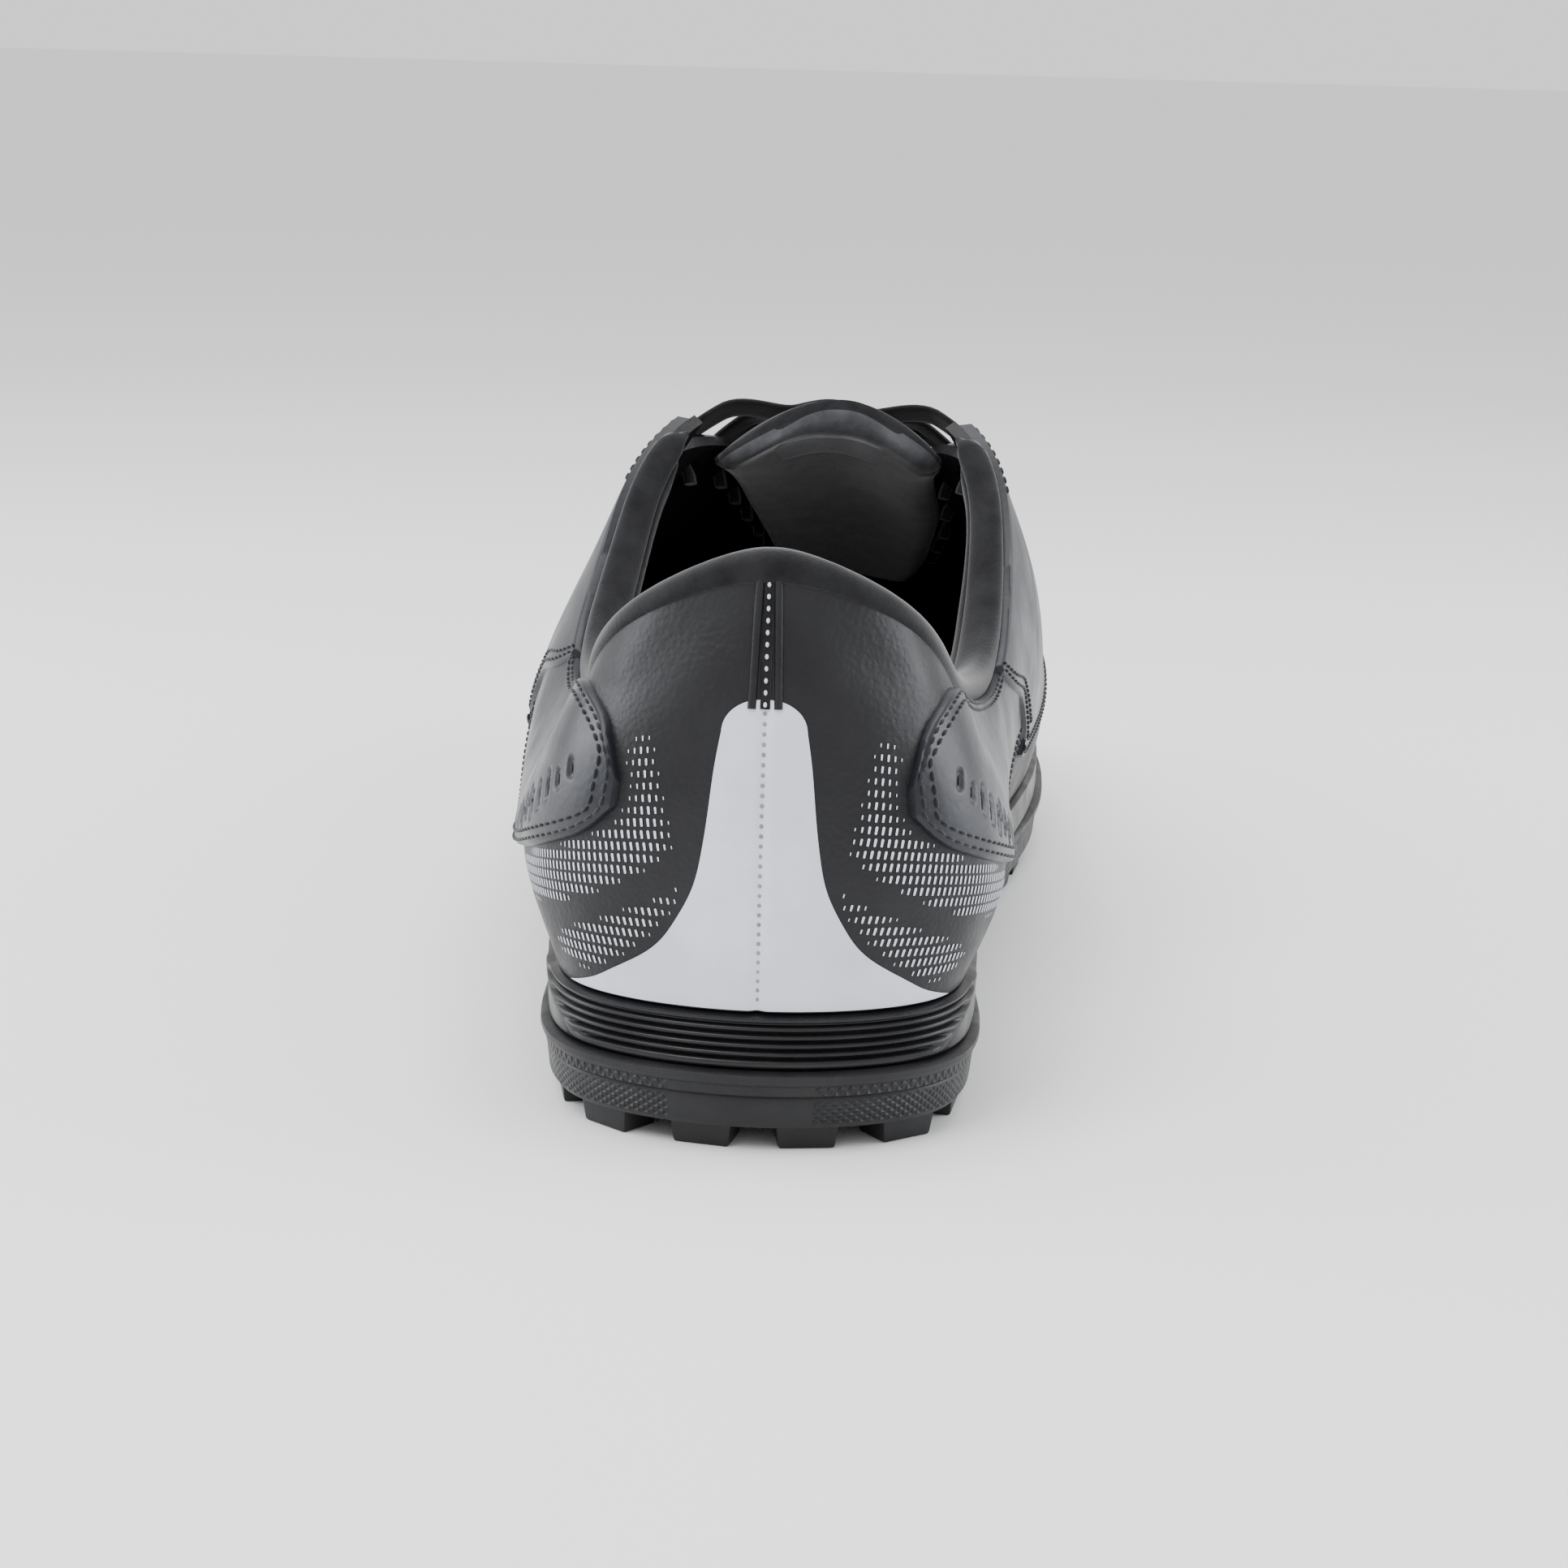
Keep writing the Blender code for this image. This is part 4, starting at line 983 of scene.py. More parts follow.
def make_quarters():
    """The side panels, with their pressed slots, painted shade on the slots' floors, and their stitches.
    """
    ends = QUARTER[0][0], QUARTER[-1][0]
    for side, word in ((-1, "lateral"), (1, "medial")):
        grid = panel(side, ends, quarter_low, quarter_high, QUARTER_LIFT, 230, 70)
        slots = slot_places(side)
        flat = grid.reshape(-1, 3)
        for at, run, up in slots:
            line = np.array([at + run * f * SLOT_LENGTH for f in np.linspace(-0.5, 0.5, 7)])
            close = np.linalg.norm(flat - at, axis=1) < 2 * SLOT_LENGTH
            away = nearest(flat[close], line)
            flat[close] -= up * (SLOT_DEPTH * np.exp(-(away / SLOT_WIDTH) ** 4))[:, None]
        grid = flat.reshape(grid.shape)
        made = grid_piece(f"quarter_{word}_panel", grid, [panel_leather])
        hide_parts(f"quarter_{word}")
        # Near-black domes sunk on the slot floors: painted shade in the recesses, not a colour of the
        # leather
        floors = [(at - up * 0.8 * SLOT_DEPTH, run, up) for at, run, up in slots]
        size = (0.92 * SLOT_LENGTH, 0.8 * SLOT_WIDTH, 0.00012)
        domes(f"slots_{word}", floors, [size] * len(floors), [slot_painted_shade])
        make_quarter_stitches(side, word)


def slot_places(side):
    """Places of the pressed slots on one side: slanted, in rows that go down and forward."""
    places = []
    for t, share in SLOT_ROWS:
        for n in range(SLOTS_IN_A_ROW):
            u = place_on_side(t + 0.13 * n, side)
            height = edge_share(u) * (share - 0.026 * n)
            at = off_rib(u, [height], [QUARTER_LIFT])[0]
            up = normals_on_rib(u, np.array([height]))[0]
            ahead = off_rib(place_on_side(t + 0.13 * n + 0.05, side), [height], [QUARTER_LIFT])[0] - at
            above = off_rib(u, [height + 0.01], [QUARTER_LIFT])[0] - at
            run = ahead / np.linalg.norm(ahead) * 0.45 + above / np.linalg.norm(above)
            run -= up * run.dot(up)
            places.append((at, run / np.linalg.norm(run), up))
    return places


def make_quarter_stitches(side, word):
    """Two rows of stitches inside the edge of a quarter, from its top front round the heel corner."""
    first, last = QUARTER[0][0], QUARTER[-1][0]
    places = []
    for inset in (0.022, 0.050):
        high = [(t, quarter_high(t) - inset) for t in np.linspace(last - 0.9, first + 3.2 * inset, 50)]
        low = [(t, quarter_low(t) + inset) for t in np.linspace(first + 3.2 * inset, last, 50)]
        walk = path_on_wall(high + low, side, STITCH_PITCH)
        places += stitch_places(walk, QUARTER_LIFT)
    domes(f"quarter_stitches_{word}", places, [STITCH] * len(places), [thread_black])


def make_eyestays():
    """The lace panel on each side, from the collar's dip round the throat's end, and its stitches."""
    ends = EYESTAY[0][0], EYESTAY[-1][0]

    def top(t):
        """The panel stops just short of the edge of the opening."""
        return 0.992 if t < THROAT_END else 1.0

    for side, word in ((-1, "lateral"), (1, "medial")):
        grid = panel(side, ends, eyestay_low, top, EYESTAY_LIFT, 210, 50)
        made = grid_piece(f"eyestay_{word}", grid, [panel_leather])
        cut_eyelets(made, EYESTAY_WALL)
        stops = np.linspace(ends[0] + 0.08, ends[1] - 0.2, 60)
        paths = [[(t, eyestay_low(t) + inset) for t in stops] for inset in (0.028, 0.060)]
        paths.append([(t, 0.955) for t in np.linspace(PEAK - 0.3, THROAT_END - 0.3, 60)])
        places = []
        for path in paths:
            places += stitch_places(path_on_wall(path, side, STITCH_PITCH), EYESTAY_LIFT)
        domes(f"eyestay_stitches_{word}", places, [STITCH] * len(places), [thread_black])


# Heel: tape, patch and print


def make_heel_tape():
    """The seam's tape: a sunk strip between two beads, with pale stitches on it."""
    shares = np.linspace(SEAM_TOP, 0.985, 60)
    heel = edge_share(0)
    half = 0.5 * TAPE_WIDTH
    strip = [(half, -0.0002), (half, 0.0002), (0.0, 0.00028), (-half, 0.0002), (-half, -0.0002)]
    walk = [(0.0, heel * share) for share in shares]
    ribbon("heel_tape", walk, strip, [tongue_cloth], lift=TAPE_LIFT)
    metre = 1.0 / np.linalg.norm(along_rib(1.0, np.array([0.8])) - along_rib(0.0, np.array([0.8])))
    profile = half_round(BEAD_WIDTH, BEAD_HEIGHT)[::-1]
    for side, word in ((-1, "lateral"), (1, "medial")):
        u = place_on_side(0.5 * (TAPE_WIDTH + BEAD_WIDTH) * metre, side)
        beads = [(u, edge_share(u) * share) for share in shares]
        ribbon(f"heel_bead_{word}", beads, profile, [skin_leather])
    length = np.linalg.norm(np.diff(along_rib(0.0, heel * shares), axis=0), axis=1).sum()
    count = int(length / DOT_PITCH)
    walk = [(0.0, heel * share) for share in np.linspace(SEAM_TOP + 0.01, 0.975, count)]
    dots = stitch_places(walk, 2 * TAPE_LIFT)
    domes("heel_dots", dots, [(0.0008, 0.00055, 0.0003)] * count, [dash_white])


def make_patch():
    """The white bell-shaped patch over the lower heel seam, with a row of grey stitch marks."""
    heights = np.concatenate((np.linspace(0.004, 0.64, 90), np.linspace(0.64, PATCH_TOP, 28)[1:]))
    across = np.linspace(-1, 1, 61)
    widths = []
    for h in heights:
        past = (h - 0.65) / (PATCH_TOP - 0.65)
        cap = math.sqrt(max(1 - max(past, 0.0) ** 2.4, 0.0))
        widths.append(patch_half(min(h, 0.65)) * cap + 0.004)
    rows = []
    for h, width in zip(heights, widths):
        row = []
        for a in across:
            t = abs(a) * width
            u = place_on_side(t, -1 if a < 0 else 1)
            row.append(off_rib(u, [edge_share(u) * h], [PRINT_LIFT])[0])
        rows.append(row)
    grid = np.array(rows).transpose(1, 0, 2)[::-1]
    grid_piece("heel_patch", grid, [print_white])
    heel = edge_share(0)
    walk = [(0.0, heel * share) for share in np.linspace(0.03, 0.69, 30)]
    places = stitch_places(walk, 0.0001)
    size = (0.0007, 0.00075, 0.00022)
    domes("patch_stitches", places, [size] * len(places), [thread_grey])


def make_dashes():
    """Bands of small printed dashes beside the patch: staggered rows that thin out at a band's edges."""
    shape = []
    for a in np.linspace(0, 2 * math.pi, 10, endpoint=False):
        end = math.copysign(0.5, math.sin(a) + 1e-9) * (DASH_LENGTH - DASH_WIDTH)
        shape.append((0.5 * math.cos(a) * DASH_WIDTH, 0.5 * math.sin(a) * DASH_WIDTH + end))
    shape = np.array(shape)
    vertices, faces = [], []
    for table in (UPPER_DASHES, LOWER_DASHES):
        inner, outer = straight(table, 1), straight(table, 2)
        bottom, top = table[0][0], table[-1][0]
        wall = rib(0.8)[2] * edge_share(0.8)
        rows = np.arange(bottom, top, DASH_ROW / wall)
        for number, h in enumerate(rows):
            ends = ease((h - bottom) / 0.03) * ease((top - h) / 0.05)
            for side in (-1, 1):
                add_dashes(vertices, faces, shape, side, h, inner(h), outer(h), number, ends)
    piece("dashes", np.vstack(vertices), faces, [dash_white])


def add_dashes(vertices, faces, shape, side, h, inner, outer, number, ends):
    """One row of dashes from the inner to the outer edge of its band."""
    t = inner
    skip = 0.5 * (number % 2)
    while t < outer:
        u = place_on_side(t, side)
        share = edge_share(u) * h
        near = along_rib(u, np.array([share]))[0]
        ahead = along_rib(place_on_side(t + 0.05, side), np.array([share]))[0]
        metre = 0.05 / np.linalg.norm(ahead - near)
        if skip:
            t += skip * DASH_PITCH * metre
            skip = 0.0
            continue
        fade = min(ease((t - inner) / 0.16 + 0.25), ease((outer - t) / 0.22 + 0.1))
        fade *= 0.25 + 0.75 * ends
        if fade > 0.12:
            up = normals_on_rib(u, np.array([share]))[0]
            at = off_rib(u, [share], [DASH_LIFT])[0]
            above = off_rib(u, [share + 0.01], [DASH_LIFT])[0] - at
            run = above / np.linalg.norm(above) + 0.25 * (ahead - near) / np.linalg.norm(ahead - near)
            run -= up * run.dot(up)
            run /= np.linalg.norm(run)
            across = np.cross(run, up)
            size = math.sqrt(fade)
            start = len(vertices) * len(shape)
            vertices.append(at + size * (shape[:, :1] * across + shape[:, 1:] * run))
            faces.append(tuple(start + n for n in range(len(shape))))
        t += DASH_PITCH * metre


# Sole


SOLE_COLUMNS = [*np.linspace(0, 4, 81), *np.linspace(4, TOE, 91)[1:]]


def sole_rows(levels):
    """Grid of a side of the sole: each level gives an outward distance and a height for y and station."""
    ring, out, stations = feather_ring(SOLE_COLUMNS)
    rows = []
    for distance, height in levels:
        row = []
        for (x, y), (a, b), t in zip(ring, out, stations):
            away = distance(y, t)
            row.append((x + a * away, y + b * away, height(y, t)))
        rows.append(row)
    return np.array(rows).transpose(1, 0, 2)


MIDSOLE_GROOVES = (0.828, 0.668, 0.508, 0.348, 0.188)


def make_midsole():
    """Foam wedge: ribs round the heel that run out under a curved lip on each side."""

    def distance_at(h):
        def distance(y, t):
            limit = 0.95 + 1.15 * h ** 1.4
            heel = 1 - ease((t - limit + 0.12) / 0.24)
            lip = math.exp(-((t - limit - 0.10) / 0.13) ** 2)
            groove = sum(math.exp(-((h - at) / 0.036) ** 2) for at in MIDSOLE_GROOVES)
            crown = 1 - 1.3 * max(h - 0.93, 0.0) / 0.07 - 0.25 * max(0.04 - h, 0.0) / 0.04
            crown *= MIDSOLE_LEDGE
            return crown - 0.0009 * groove * heel + 0.0005 * lip * ease(h / 0.1) * ease((1 - h) / 0.1)
        return distance

    def height_at(h):
        return lambda y, t: parting(y) + CLEARANCE + h * (seat(y) - parting(y) - CLEARANCE)

    levels = [(distance_at(h), height_at(h)) for h in np.linspace(0, 1, 56)]
    grid = sole_rows(levels)
    made = grid_piece("midsole_wedge", grid, [foam_black], closed=True, strips=True)
    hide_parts("midsole")


def make_outsole():
    """Rubber outsole: flared lip, band of diamonds, smooth lower edge, ground between the lugs."""
    def below(drop):
        return lambda y, t: parting(y) - drop

    def out(share):
        return lambda y, t: share * OUTSOLE_FLARE * (1 - WAIST_TRIM * waist(y))

    def on_ground(lift):
        return lambda y, t: tread(y) + lift

    keys = (
        (out(0.20), on_ground(0.0)),
        (out(0.42), on_ground(0.0008)),
        (out(0.58), below(0.0044)),
        (out(0.50), below(0.0040)),
        (out(0.66), below(0.0036)),
        (out(0.70), below(0.0022)),
        (out(0.92), below(0.0017)),
        (out(1.00), below(0.0012)),
        (out(0.98), below(0.0005)),
        (out(0.80), below(0.0002)),
        (out(0.40), below(0.0)),
    )
    grid = sole_rows(keys)
    rubbers = [tread_black, diamond_black]
    made = grid_piece("outsole_body", grid, rubbers, closed=True, strips=True)
    rows = len(keys)
    for face in made.data.polygons:
        columns_apart = max(face.vertices) // rows - min(face.vertices) // rows
        if len(face.vertices) == 4 and columns_apart in (1, len(grid) - 1):
            level = min(v % rows for v in face.vertices)
            middle = np.mean([made.data.vertices[v].co.x for v in face.vertices])
            smooth_panel = abs(middle) < 0.011 and face.center.y < -0.1
            if level in (1, 4) and not smooth_panel:
                face.material_index = 1
    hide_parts("outsole")


def walk_ring(inset, pitch, start, stop):
    """Places along the feather line moved inward: evenly spaced, between two shares of the length."""
    ring, out, _ = feather_ring(list(np.linspace(0, TOE, 157)))
    path = ring - out * inset
    path = np.vstack((path, path[:1]))
    lengths = np.concatenate(([0], np.cumsum(np.linalg.norm(np.diff(path, axis=0), axis=1))))
    places = []
    pitch = lengths[-1] / round(lengths[-1] / pitch)
    along = 0.5 * pitch
    while along < lengths[-1]:
        at = np.array([np.interp(along, lengths, path[:, axis]) for axis in (0, 1)])
        ahead = np.array([np.interp(along + 0.002, lengths, path[:, axis]) for axis in (0, 1)])
        if start * LENGTH < at[1] < stop * LENGTH:
            places.append((at, math.atan2(ahead[1] - at[1], ahead[0] - at[0])))
        along += pitch
    return places


def inside(ring, x, y):
    """Whether a point lies inside a closed plan."""
    crossings = 0
    for (x1, y1), (x2, y2) in zip(ring, np.roll(ring, -1, axis=0)):
        if (y1 > y) != (y2 > y) and x < x1 + (y - y1) / (y2 - y1) * (x2 - x1):
            crossings += 1
    return crossings % 2 == 1


def add_lug(body, at, angle, size, sides):
    """One lug with rounded edges and a shallow dish in its foot."""
    x, y = at
    bottom = toe_lift(y)
    top = tread(y) + LUG_OVERLAP
    radius = 0.5 * math.sqrt(2) if sides == 4 else 0.5
    made = bmesh.new()
    bmesh.ops.create_cone(
        made, cap_ends=True, segments=sides, radius1=radius * LUG_TAPER, radius2=radius, depth=1.0
    )
    bmesh.ops.rotate(made, verts=made.verts, matrix=Matrix.Rotation(math.pi / sides, 3, "Z"))
    bmesh.ops.scale(made, verts=made.verts, vec=(size[0], size[1], top - bottom))
    low_edges = [e for e in made.edges if e.verts[0].co.z < 0 or e.verts[1].co.z < 0]
    bmesh.ops.bevel(made, geom=low_edges, offset=LUG_BEVEL, segments=2, affect="EDGES", profile=0.6)
    foot = [f for f in made.faces if f.normal.z < -0.95 and f.calc_area() > 4e-6]
    bmesh.ops.inset_region(made, faces=foot, thickness=LUG_RIM, depth=-LUG_DISH)
    slope = (toe_lift(y + 0.001) - toe_lift(y - 0.001)) / 0.002
    turn = Matrix.Rotation(angle, 3, "Z")
    for v in made.verts:
        v.co = turn @ v.co
        lift = slope * v.co.y if v.co.z < 0 else 0.0
        v.co = Vector((v.co.x + x, v.co.y + y, v.co.z + 0.5 * (top - bottom) + bottom + lift))
    mesh = bpy.data.meshes.new("lug")
    made.to_mesh(mesh)
    made.free()
    body.from_mesh(mesh)
    bpy.data.meshes.remove(mesh)


def make_lugs():
    """Block lugs round the edge and studs inside."""
    body = bmesh.new()
    edge_inset = 0.5 * LUG_WIDTH + LUG_MARGIN
    for start, stop in ((-0.05, 0.27), (0.47, 1.05)):
        for at, angle in walk_ring(edge_inset, LUG_PITCH, start, stop):
            add_lug(body, at, angle, (LUG_LENGTH, LUG_WIDTH), 4)
    ring, out, _ = feather_ring(list(np.linspace(0, TOE, 79)))
    inner = ring - out * (edge_inset + 0.5 * LUG_WIDTH + STUD_RADIUS + 0.001)
    row = 0
    y = 0.03
    while y < LENGTH:
        x = -0.5 * BALL_WIDTH + (0.5 * STUD_PITCH if row % 2 else 0.0)
        while x < 0.5 * BALL_WIDTH:
            standing = y < 0.25 * LENGTH or y > 0.49 * LENGTH
            if standing and inside(inner, x, y):
                add_lug(body, (x, y), 0.0, (2 * STUD_RADIUS, 2 * STUD_RADIUS), 6)
            x += STUD_PITCH
        y += STUD_PITCH * 0.87
        row += 1
    body.verts.index_update()
    vertices = [tuple(v.co) for v in body.verts]
    faces = [[v.index for v in f.verts] for f in body.faces]
    body.free()
    piece("lugs", vertices, faces, [tread_black], sharp=35.0)


# Soft inside


def closed_curve(points, count):
    """A smooth closed curve through some points, evenly sampled."""
    points = np.array(points, float)
    n = len(points)
    fine = []
    for i in range(n):
        a, b, c, d = (points[(i + k) % n] for k in (-1, 0, 1, 2))
        for f in np.linspace(0, 1, 16, endpoint=False):
            bend = (2 * a - 5 * b + 4 * c - d) * f ** 2 + (3 * b - 3 * c + d - a) * f ** 3
            fine.append(0.5 * (2 * b + (c - a) * f + bend))
    fine = np.array(fine)
    lengths = running_lengths(fine, True)
    even = np.linspace(0, lengths[-1], count, endpoint=False)
    looped = np.vstack((fine, fine[:1]))
    return np.stack([np.interp(even, lengths, looped[:, axis]) for axis in (0, 1)], axis=-1)


def make_collar():
    """Padded lining and the knitted roll over the edge of the collar, from peak to peak."""
    inner = WALL + LINING_GAP
    roll = closed_curve((
        (-0.0004, -0.0012), (-0.0010, 0.10 * ROLL_HEIGHT), (-0.0008, 0.55 * ROLL_HEIGHT),
        (0.0004, 0.92 * ROLL_HEIGHT), (0.0024, 1.02 * ROLL_HEIGHT), (0.0046, 0.80 * ROLL_HEIGHT),
        (0.0060, 0.25 * ROLL_HEIGHT),
        (0.0056, -0.45 * ROLL_HEIGHT), (0.0040, -0.60 * ROLL_HEIGHT), (0.0014, -0.50 * ROLL_HEIGHT),
    ), 44)
    pad = closed_curve((
        (inner + 0.25 * PAD_THICKNESS, 0.10 * ROLL_HEIGHT),
        (inner + 0.62 * PAD_THICKNESS, -0.05 * ROLL_HEIGHT),
        (inner + 0.95 * PAD_THICKNESS, -0.18 * PAD_DROP), (inner + 1.00 * PAD_THICKNESS, -0.36 * PAD_DROP),
        (inner + 0.90 * PAD_THICKNESS, -0.56 * PAD_DROP), (inner + 0.60 * PAD_THICKNESS, -0.78 * PAD_DROP),
        (inner + 0.22 * PAD_THICKNESS, -0.97 * PAD_DROP), (inner, -PAD_DROP),
        (inner, -0.70 * PAD_DROP), (inner, -0.35 * PAD_DROP), (inner, -0.08 * PAD_DROP),
    ), 70)
    end = PEAK - 0.12
    turn = np.linspace(-end, end, 281)
    pieces = (
        ("collar_roll", roll, binding_knit, 0.7, (0.0024, 0.3 * ROLL_HEIGHT)),
        ("collar_pad", pad, lining_knit, 0.6, (inner + 0.001, -0.4 * PAD_DROP)),
    )
    for name, profile, material, fill, centre in pieces:
        grid = []
        for u in turn:
            t = abs(u)
            place = u % TURN
            length = rib(place)[2]
            thin = 1.0 - 0.62 * ease((t - (PEAK - 1.3)) / 1.3)
            close = 1.0 - 0.75 * ease((t - end + 0.10) / 0.10)
            inward = profile[:, 0].copy()
            deep = inward > inner
            inward[deep] = inner + (inward[deep] - inner) * thin
            inward = centre[0] + (inward - centre[0]) * close
            up = centre[1] + (profile[:, 1] - centre[1]) * close
            grid.append(off_rib(place, edge_share(place) + up / length, -inward, with_relief=False))
        grid = np.array(grid)
        if name == "collar_pad":
            grid = softened(grid, 0.00035, 90.0)
        made = grid_piece(name, grid, [material], ring=True, caps=True, sharp=70.0)
        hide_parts("collar_lining")


def softened(grid, depth, scale):
    """The grid with a slow unevenness, as padding has."""
    flat = grid.reshape(-1, 3)
    middle = grid.mean(axis=1, keepdims=True)
    out = (grid - middle).reshape(-1, 3)
    out /= np.linalg.norm(out, axis=1)[:, None] + 1e-9
    wave = np.array([noise.noise(Vector(point) * scale) for point in flat])
    return (flat + out * (wave * depth)[:, None]).reshape(grid.shape)


def make_tongue():
    """Padded tongue: cloth outside, brushed lining inside, and a bare label strip near its top."""
    depth = WALL + TONGUE_GAP
    columns = 33
    across = np.linspace(-1, 1, columns)
    low, high = TONGUE_TOE, TONGUE_TOP
    stops = np.linspace(low, high, 90)
    outer, ups = [], []
    for t in stops:
        half = TONGUE_HALF_TOE + (TONGUE_HALF_TOP - TONGUE_HALF_TOE) * (low - t) / (low - high)
        row, normal = [], []
        for b in across:
            u = place_on_side(t, -1 if b < 0 else 1)
            share = np.array([1.0 - abs(b) * half / rib(u)[2]])
            row.append(off_rib(u, share, -depth, with_relief=False)[0])
            normal.append(normals_on_rib(u, share)[0])
        outer.append(row)
        ups.append(normal)
    outer, ups = np.array(outer), np.array(ups)
    middle = columns // 2
    run = outer[-1, middle] - outer[-2, middle]
    run /= np.linalg.norm(run)
    ending, ending_ups = [], []
    for step in np.linspace(0, 1, 15)[1:]:
        width = (1 - step ** 2.6) ** 0.5 * 0.42 + 0.56
        rounded = outer[-1, middle] + (outer[-1] - outer[-1, middle]) * width
        ending.append(rounded + run * TONGUE_ABOVE_THROAT * step)
        ending_ups.append(ups[-1])
    outer = np.vstack((outer, ending))
    ups = np.vstack((ups, ending_ups))
    count = len(outer)
    along = np.arange(count) / (count - 1)
    body = np.ones((count, columns))
    body *= (0.45 + 0.55 * np.sqrt(np.clip(1 - np.abs(across) ** 4, 0, 1)))[None, :]
    past = np.clip((along - 0.93) / 0.07, 0, 1)
    body *= (0.35 + 0.65 * np.sqrt(1 - past ** 2))[:, None]
    inner = outer - ups * (TONGUE_THICKNESS * body)[:, :, None]
    rim = 0.5 * (outer + inner)
    left = rim[:, :1] + (rim[:, :1] - rim[:, 1:2]) * 0.35
    right = rim[:, -1:] + (rim[:, -1:] - rim[:, -2:-1]) * 0.35
    loop = np.concatenate((outer, right, inner[:, ::-1], left), axis=1)
    cloths = [tongue_cloth, suede_grey]
    made = grid_piece("tongue_pad", loop[::-1], cloths, ring=True, caps=True, sharp=60.0)
    rows = loop.shape[1]
    for face in made.data.polygons:
        if len(face.vertices) == 4 and min(v % rows for v in face.vertices) > columns - 1:
            face.material_index = 1
    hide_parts("tongue")
    top = int(0.80 * count)
    bottom = int(0.925 * count)
    part = (slice(top, bottom), slice(7, columns - 7))
    label = inner[part] - ups[part] * LABEL_RISE
    down = np.linspace(0, 1, bottom - top)[:, None]
    over = np.linspace(0, 1, columns - 14)[None, :]
    to_edge = np.minimum(np.minimum(down, 1 - down), np.minimum(over, 1 - over))
    sunk = 1.5 * LABEL_RISE * (1 - ease(to_edge * 12))
    label = label + ups[part] * sunk[:, :, None]
    grid_piece("tongue_label", label, [label_cloth])


def make_insole():
    """Sock liner with a raised rim, seen through the collar."""
    inset = WALL + 2 * CLEARANCE

    def level(share, extra):
        """Distance and height of one row: a share of the thickness, and how far in of the edge."""
        return (lambda y, t: -inset - extra), (lambda y, t: seat(y) + CLEARANCE + share * INSOLE_THICKNESS)

    section = ((0.0, 0.0), (0.75, 0.0), (0.92, 0.0004), (1.0, 0.0012), (0.96, 0.003), (0.86, 0.006))
    grid = sole_rows([level(*row) for row in section])
    made = grid_piece("insole_liner", grid, [insole_cloth], closed=True, strips=True)
    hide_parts("insole")


# Laces


def lace_run(start, end, rise):
    """A flat lace from an eyelet on one side, over the throat, into an eyelet on the other."""
    low = 0.0004 - TONGUE_GAP - WALL + 0.5 * LACE_THICKNESS
    high = EYESTAY_LIFT + 0.5 * LACE_THICKNESS + 0.0002
    line, ups = [], []
    across = np.linspace(-1.06, 1.06, 61)
    for b in across:
        t = start + (end - start) * (min(max(b, -1.0), 1.0) + 1) / 2
        u = place_on_side(t, -1 if b < 0 else 1)
        reach = throat_at(t) + EYELET_INSET
        share = np.array([1.0 - abs(b) * reach / rib(u)[2]])
        height = low + (high - low) * ease((abs(b) - 0.25) / 0.40)
        height += rise * math.exp(-(b / 0.22) ** 2)
        height -= (high + WALL + 0.002) * ease((abs(b) - 0.93) / 0.13)
        line.append(off_rib(u, share, height)[0])
        ups.append(normals_on_rib(u, share)[0])
    line, ups = np.array(line), np.array(ups)
    runs = np.gradient(line, axis=0)
    runs /= np.linalg.norm(runs, axis=1)[:, None]
    sides = np.cross(ups, runs)
    sides /= np.linalg.norm(sides, axis=1)[:, None]
    ups = np.cross(runs, sides)
    narrow = 1.0 - 0.45 * ease((np.abs(across) - 0.80) / 0.22)
    profile = []
    for a in np.linspace(0, 2 * math.pi, 18, endpoint=False):
        c, s = math.cos(a), math.sin(a)
        wide = 0.5 * LACE_WIDTH * math.copysign(abs(c) ** 0.6, c)
        profile.append((wide, 0.5 * LACE_THICKNESS * math.copysign(abs(s) ** 0.8, s)))
    return np.stack([
        line + sides * (wide * narrow)[:, None] + ups * (high * (2 - narrow))[:, None]
        for wide, high in profile[::-1]
    ], axis=1)


def make_laces():
    """Lacing over the throat: a bar at the toe end and a crossing for each further pair of eyelets."""
    stops = list(np.linspace(FIRST_EYELET, LAST_EYELET, EYELETS))
    runs = [("bar", stops[-1], stops[-1], 0.0)]
    for n, (near, far) in enumerate(zip(stops[:-1], stops[1:])):
        runs.append((f"under_{n}", far, near, 0.0))
        runs.append((f"over_{n}", near, far, LACE_THICKNESS + 0.0003))
    for name, start, end, rise in runs:
        grid = lace_run(start, end, rise)
        made = grid_piece(f"lace_{name}", grid, [lace_cloth], ring=True, caps=True, sharp=60.0)
        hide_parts("laces")


# Studio


def make_floor():
    """A plain pale floor."""
    mesh = bpy.data.meshes.new("floor")
    half = 60.0
    corners = [(-half, -half, 0), (half, -half, 0), (half, half, 0), (-half, half, 0)]
    mesh.from_pydata(corners, [], [(0, 1, 2, 3)])
    material, _, shader = new_material("floor_paint", 0.7)
    shader.inputs["Base Color"].default_value = (0.86, 0.86, 0.86, 1.0)
    mesh.materials.append(material)
    floor = bpy.data.objects.new("floor", mesh)
    bpy.context.scene.collection.objects.link(floor)


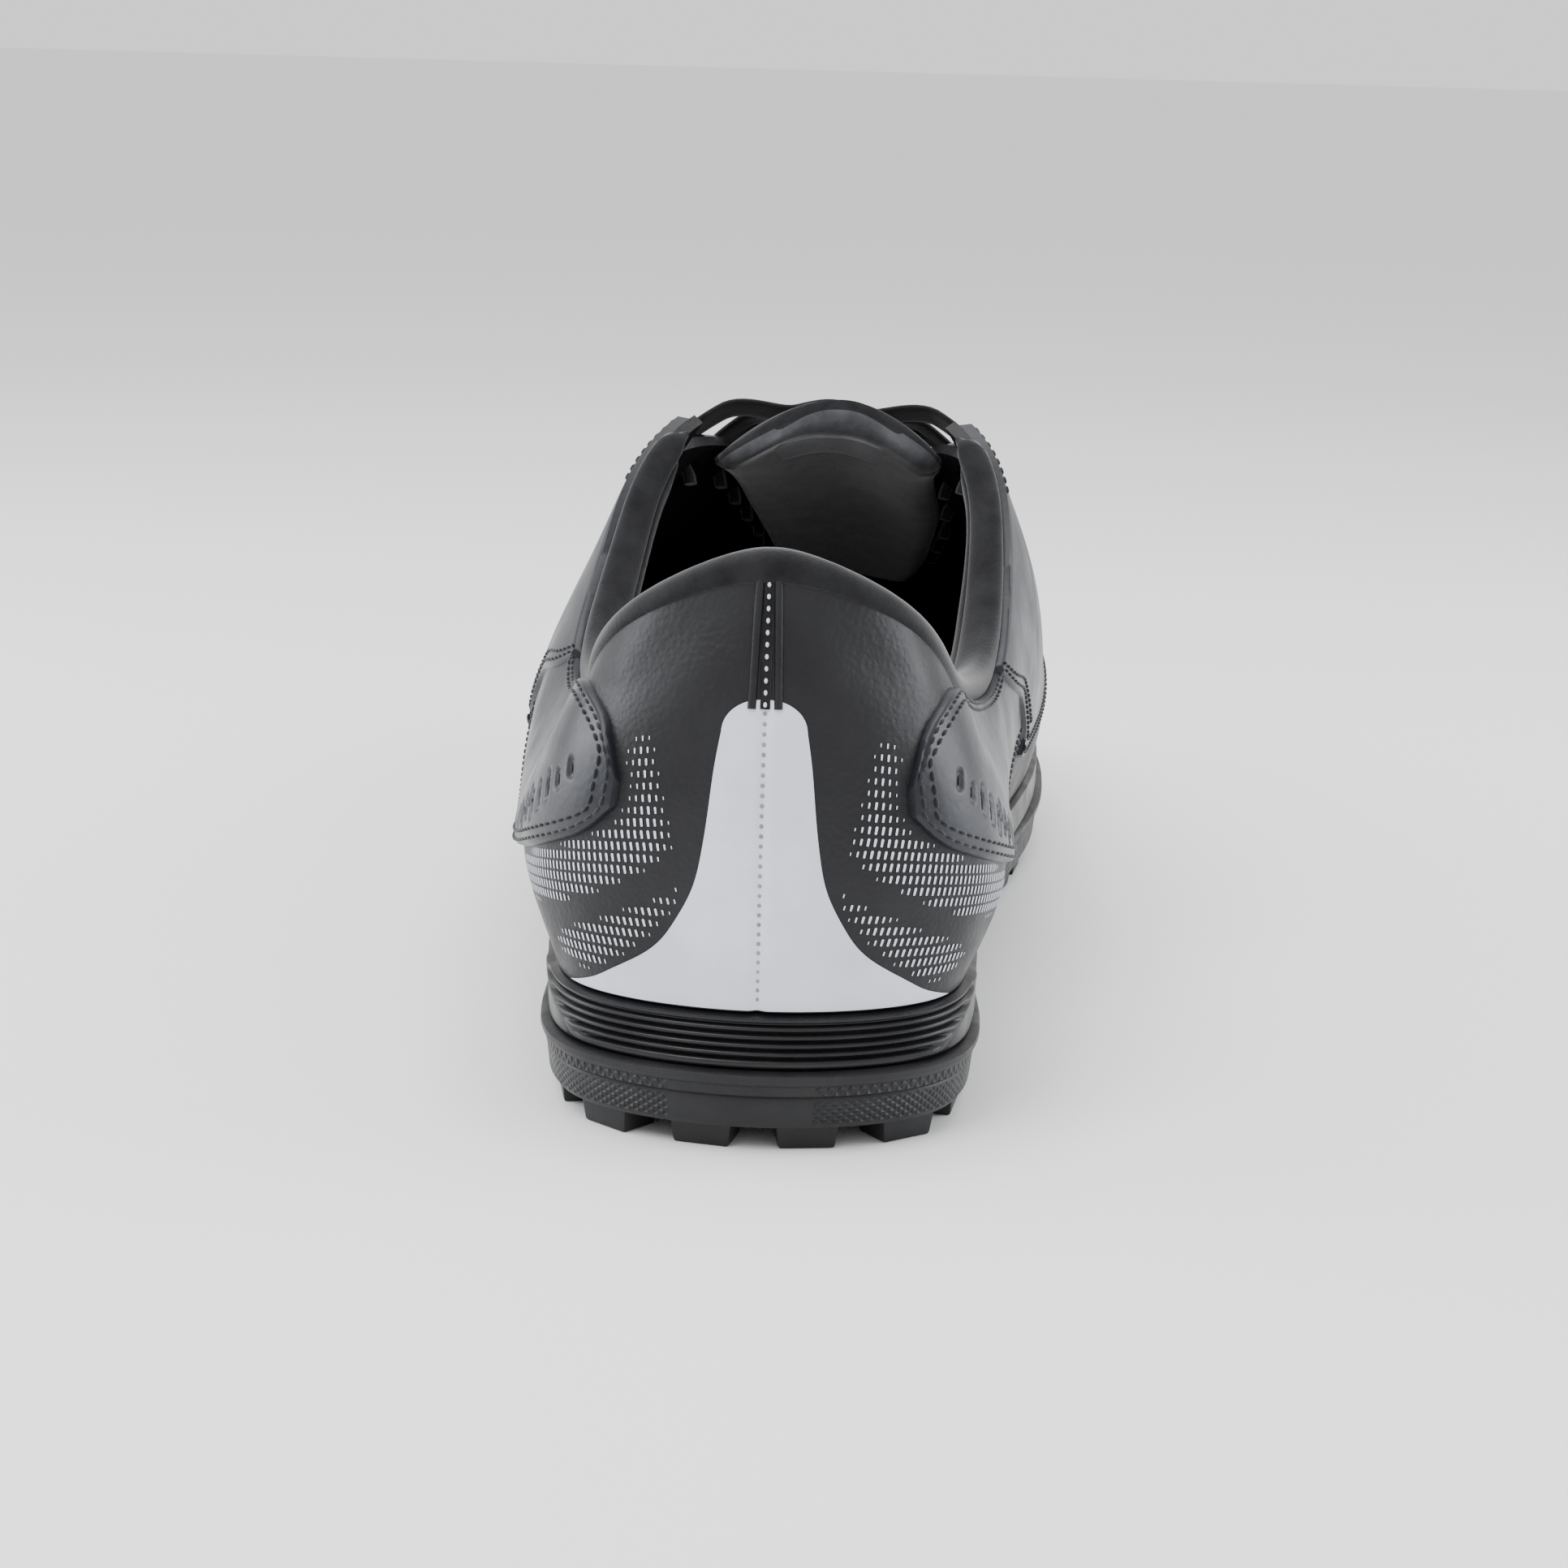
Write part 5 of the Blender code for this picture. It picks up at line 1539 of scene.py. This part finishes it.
def make_light(name, place, aim, size, power, colour=(1.0, 1.0, 1.0)):
    """A soft square light."""
    data = bpy.data.lights.new(name, "AREA")
    data.shape = "SQUARE"
    data.size = size
    data.energy = power
    data.color = colour
    lamp = bpy.data.objects.new(name, data)
    lamp.location = place
    lamp.rotation_euler = (Vector(aim) - Vector(place)).to_track_quat("-Z", "Y").to_euler()
    bpy.context.scene.collection.objects.link(lamp)


def make_studio():
    """Even white light with soft boxes above, behind the camera and at both sides."""
    world = bpy.data.worlds.new("studio")
    bpy.context.scene.world = world
    world.use_nodes = True
    background = world.node_tree.nodes["Background"]
    background.inputs["Color"].default_value = (1.0, 1.0, 1.0, 1.0)
    background.inputs["Strength"].default_value = 1.15
    aim = (0.0, -0.05, 0.05)
    make_light("key", (-0.35, -0.45, 0.75), aim, 0.5, 5.0)
    make_light("top", (0.0, 0.05, 0.95), aim, 0.7, 6.0)
    make_light("left_box", (-0.75, 0.05, 0.30), aim, 0.5, 5.0, (0.92, 0.95, 1.0))
    make_light("right_box", (0.75, 0.05, 0.30), aim, 0.5, 5.0, (0.92, 0.95, 1.0))


def make_camera():
    """The photograph's viewpoint."""
    elevation, azimuth, roll = (math.radians(a) for a in (CAMERA_ELEVATION, CAMERA_AZIMUTH, CAMERA_ROLL))
    level = math.cos(elevation)
    back = Vector((math.sin(azimuth) * level, -math.cos(azimuth) * level, math.sin(elevation)))
    right = Vector((math.cos(azimuth), math.sin(azimuth), 0.0))
    up = back.cross(right)
    rolled_right = right * math.cos(roll) + up * math.sin(roll)
    rolled_up = up * math.cos(roll) - right * math.sin(roll)
    data = bpy.data.cameras.new("camera")
    data.sensor_width = SENSOR
    data.lens = FOCAL_PIXELS * SENSOR / PHOTO_SIDE
    data.clip_start = 0.01
    camera = bpy.data.objects.new("camera", data)
    turn = Matrix((rolled_right, rolled_up, back)).transposed().to_4x4()
    target = Vector(np.array(LOOKED_AT) + SHIFT)
    camera.matrix_world = Matrix.Translation(target + back * CAMERA_DISTANCE) @ turn
    bpy.context.scene.collection.objects.link(camera)
    bpy.context.scene.camera = camera


make_camera()
make_studio()
make_floor()
make_upper()
make_quarters()
make_eyestays()
make_heel_tape()
make_patch()
make_dashes()
make_midsole()
make_outsole()
make_lugs()
make_collar()
make_tongue()
make_insole()
make_laces()

bpy.context.view_layer.update()
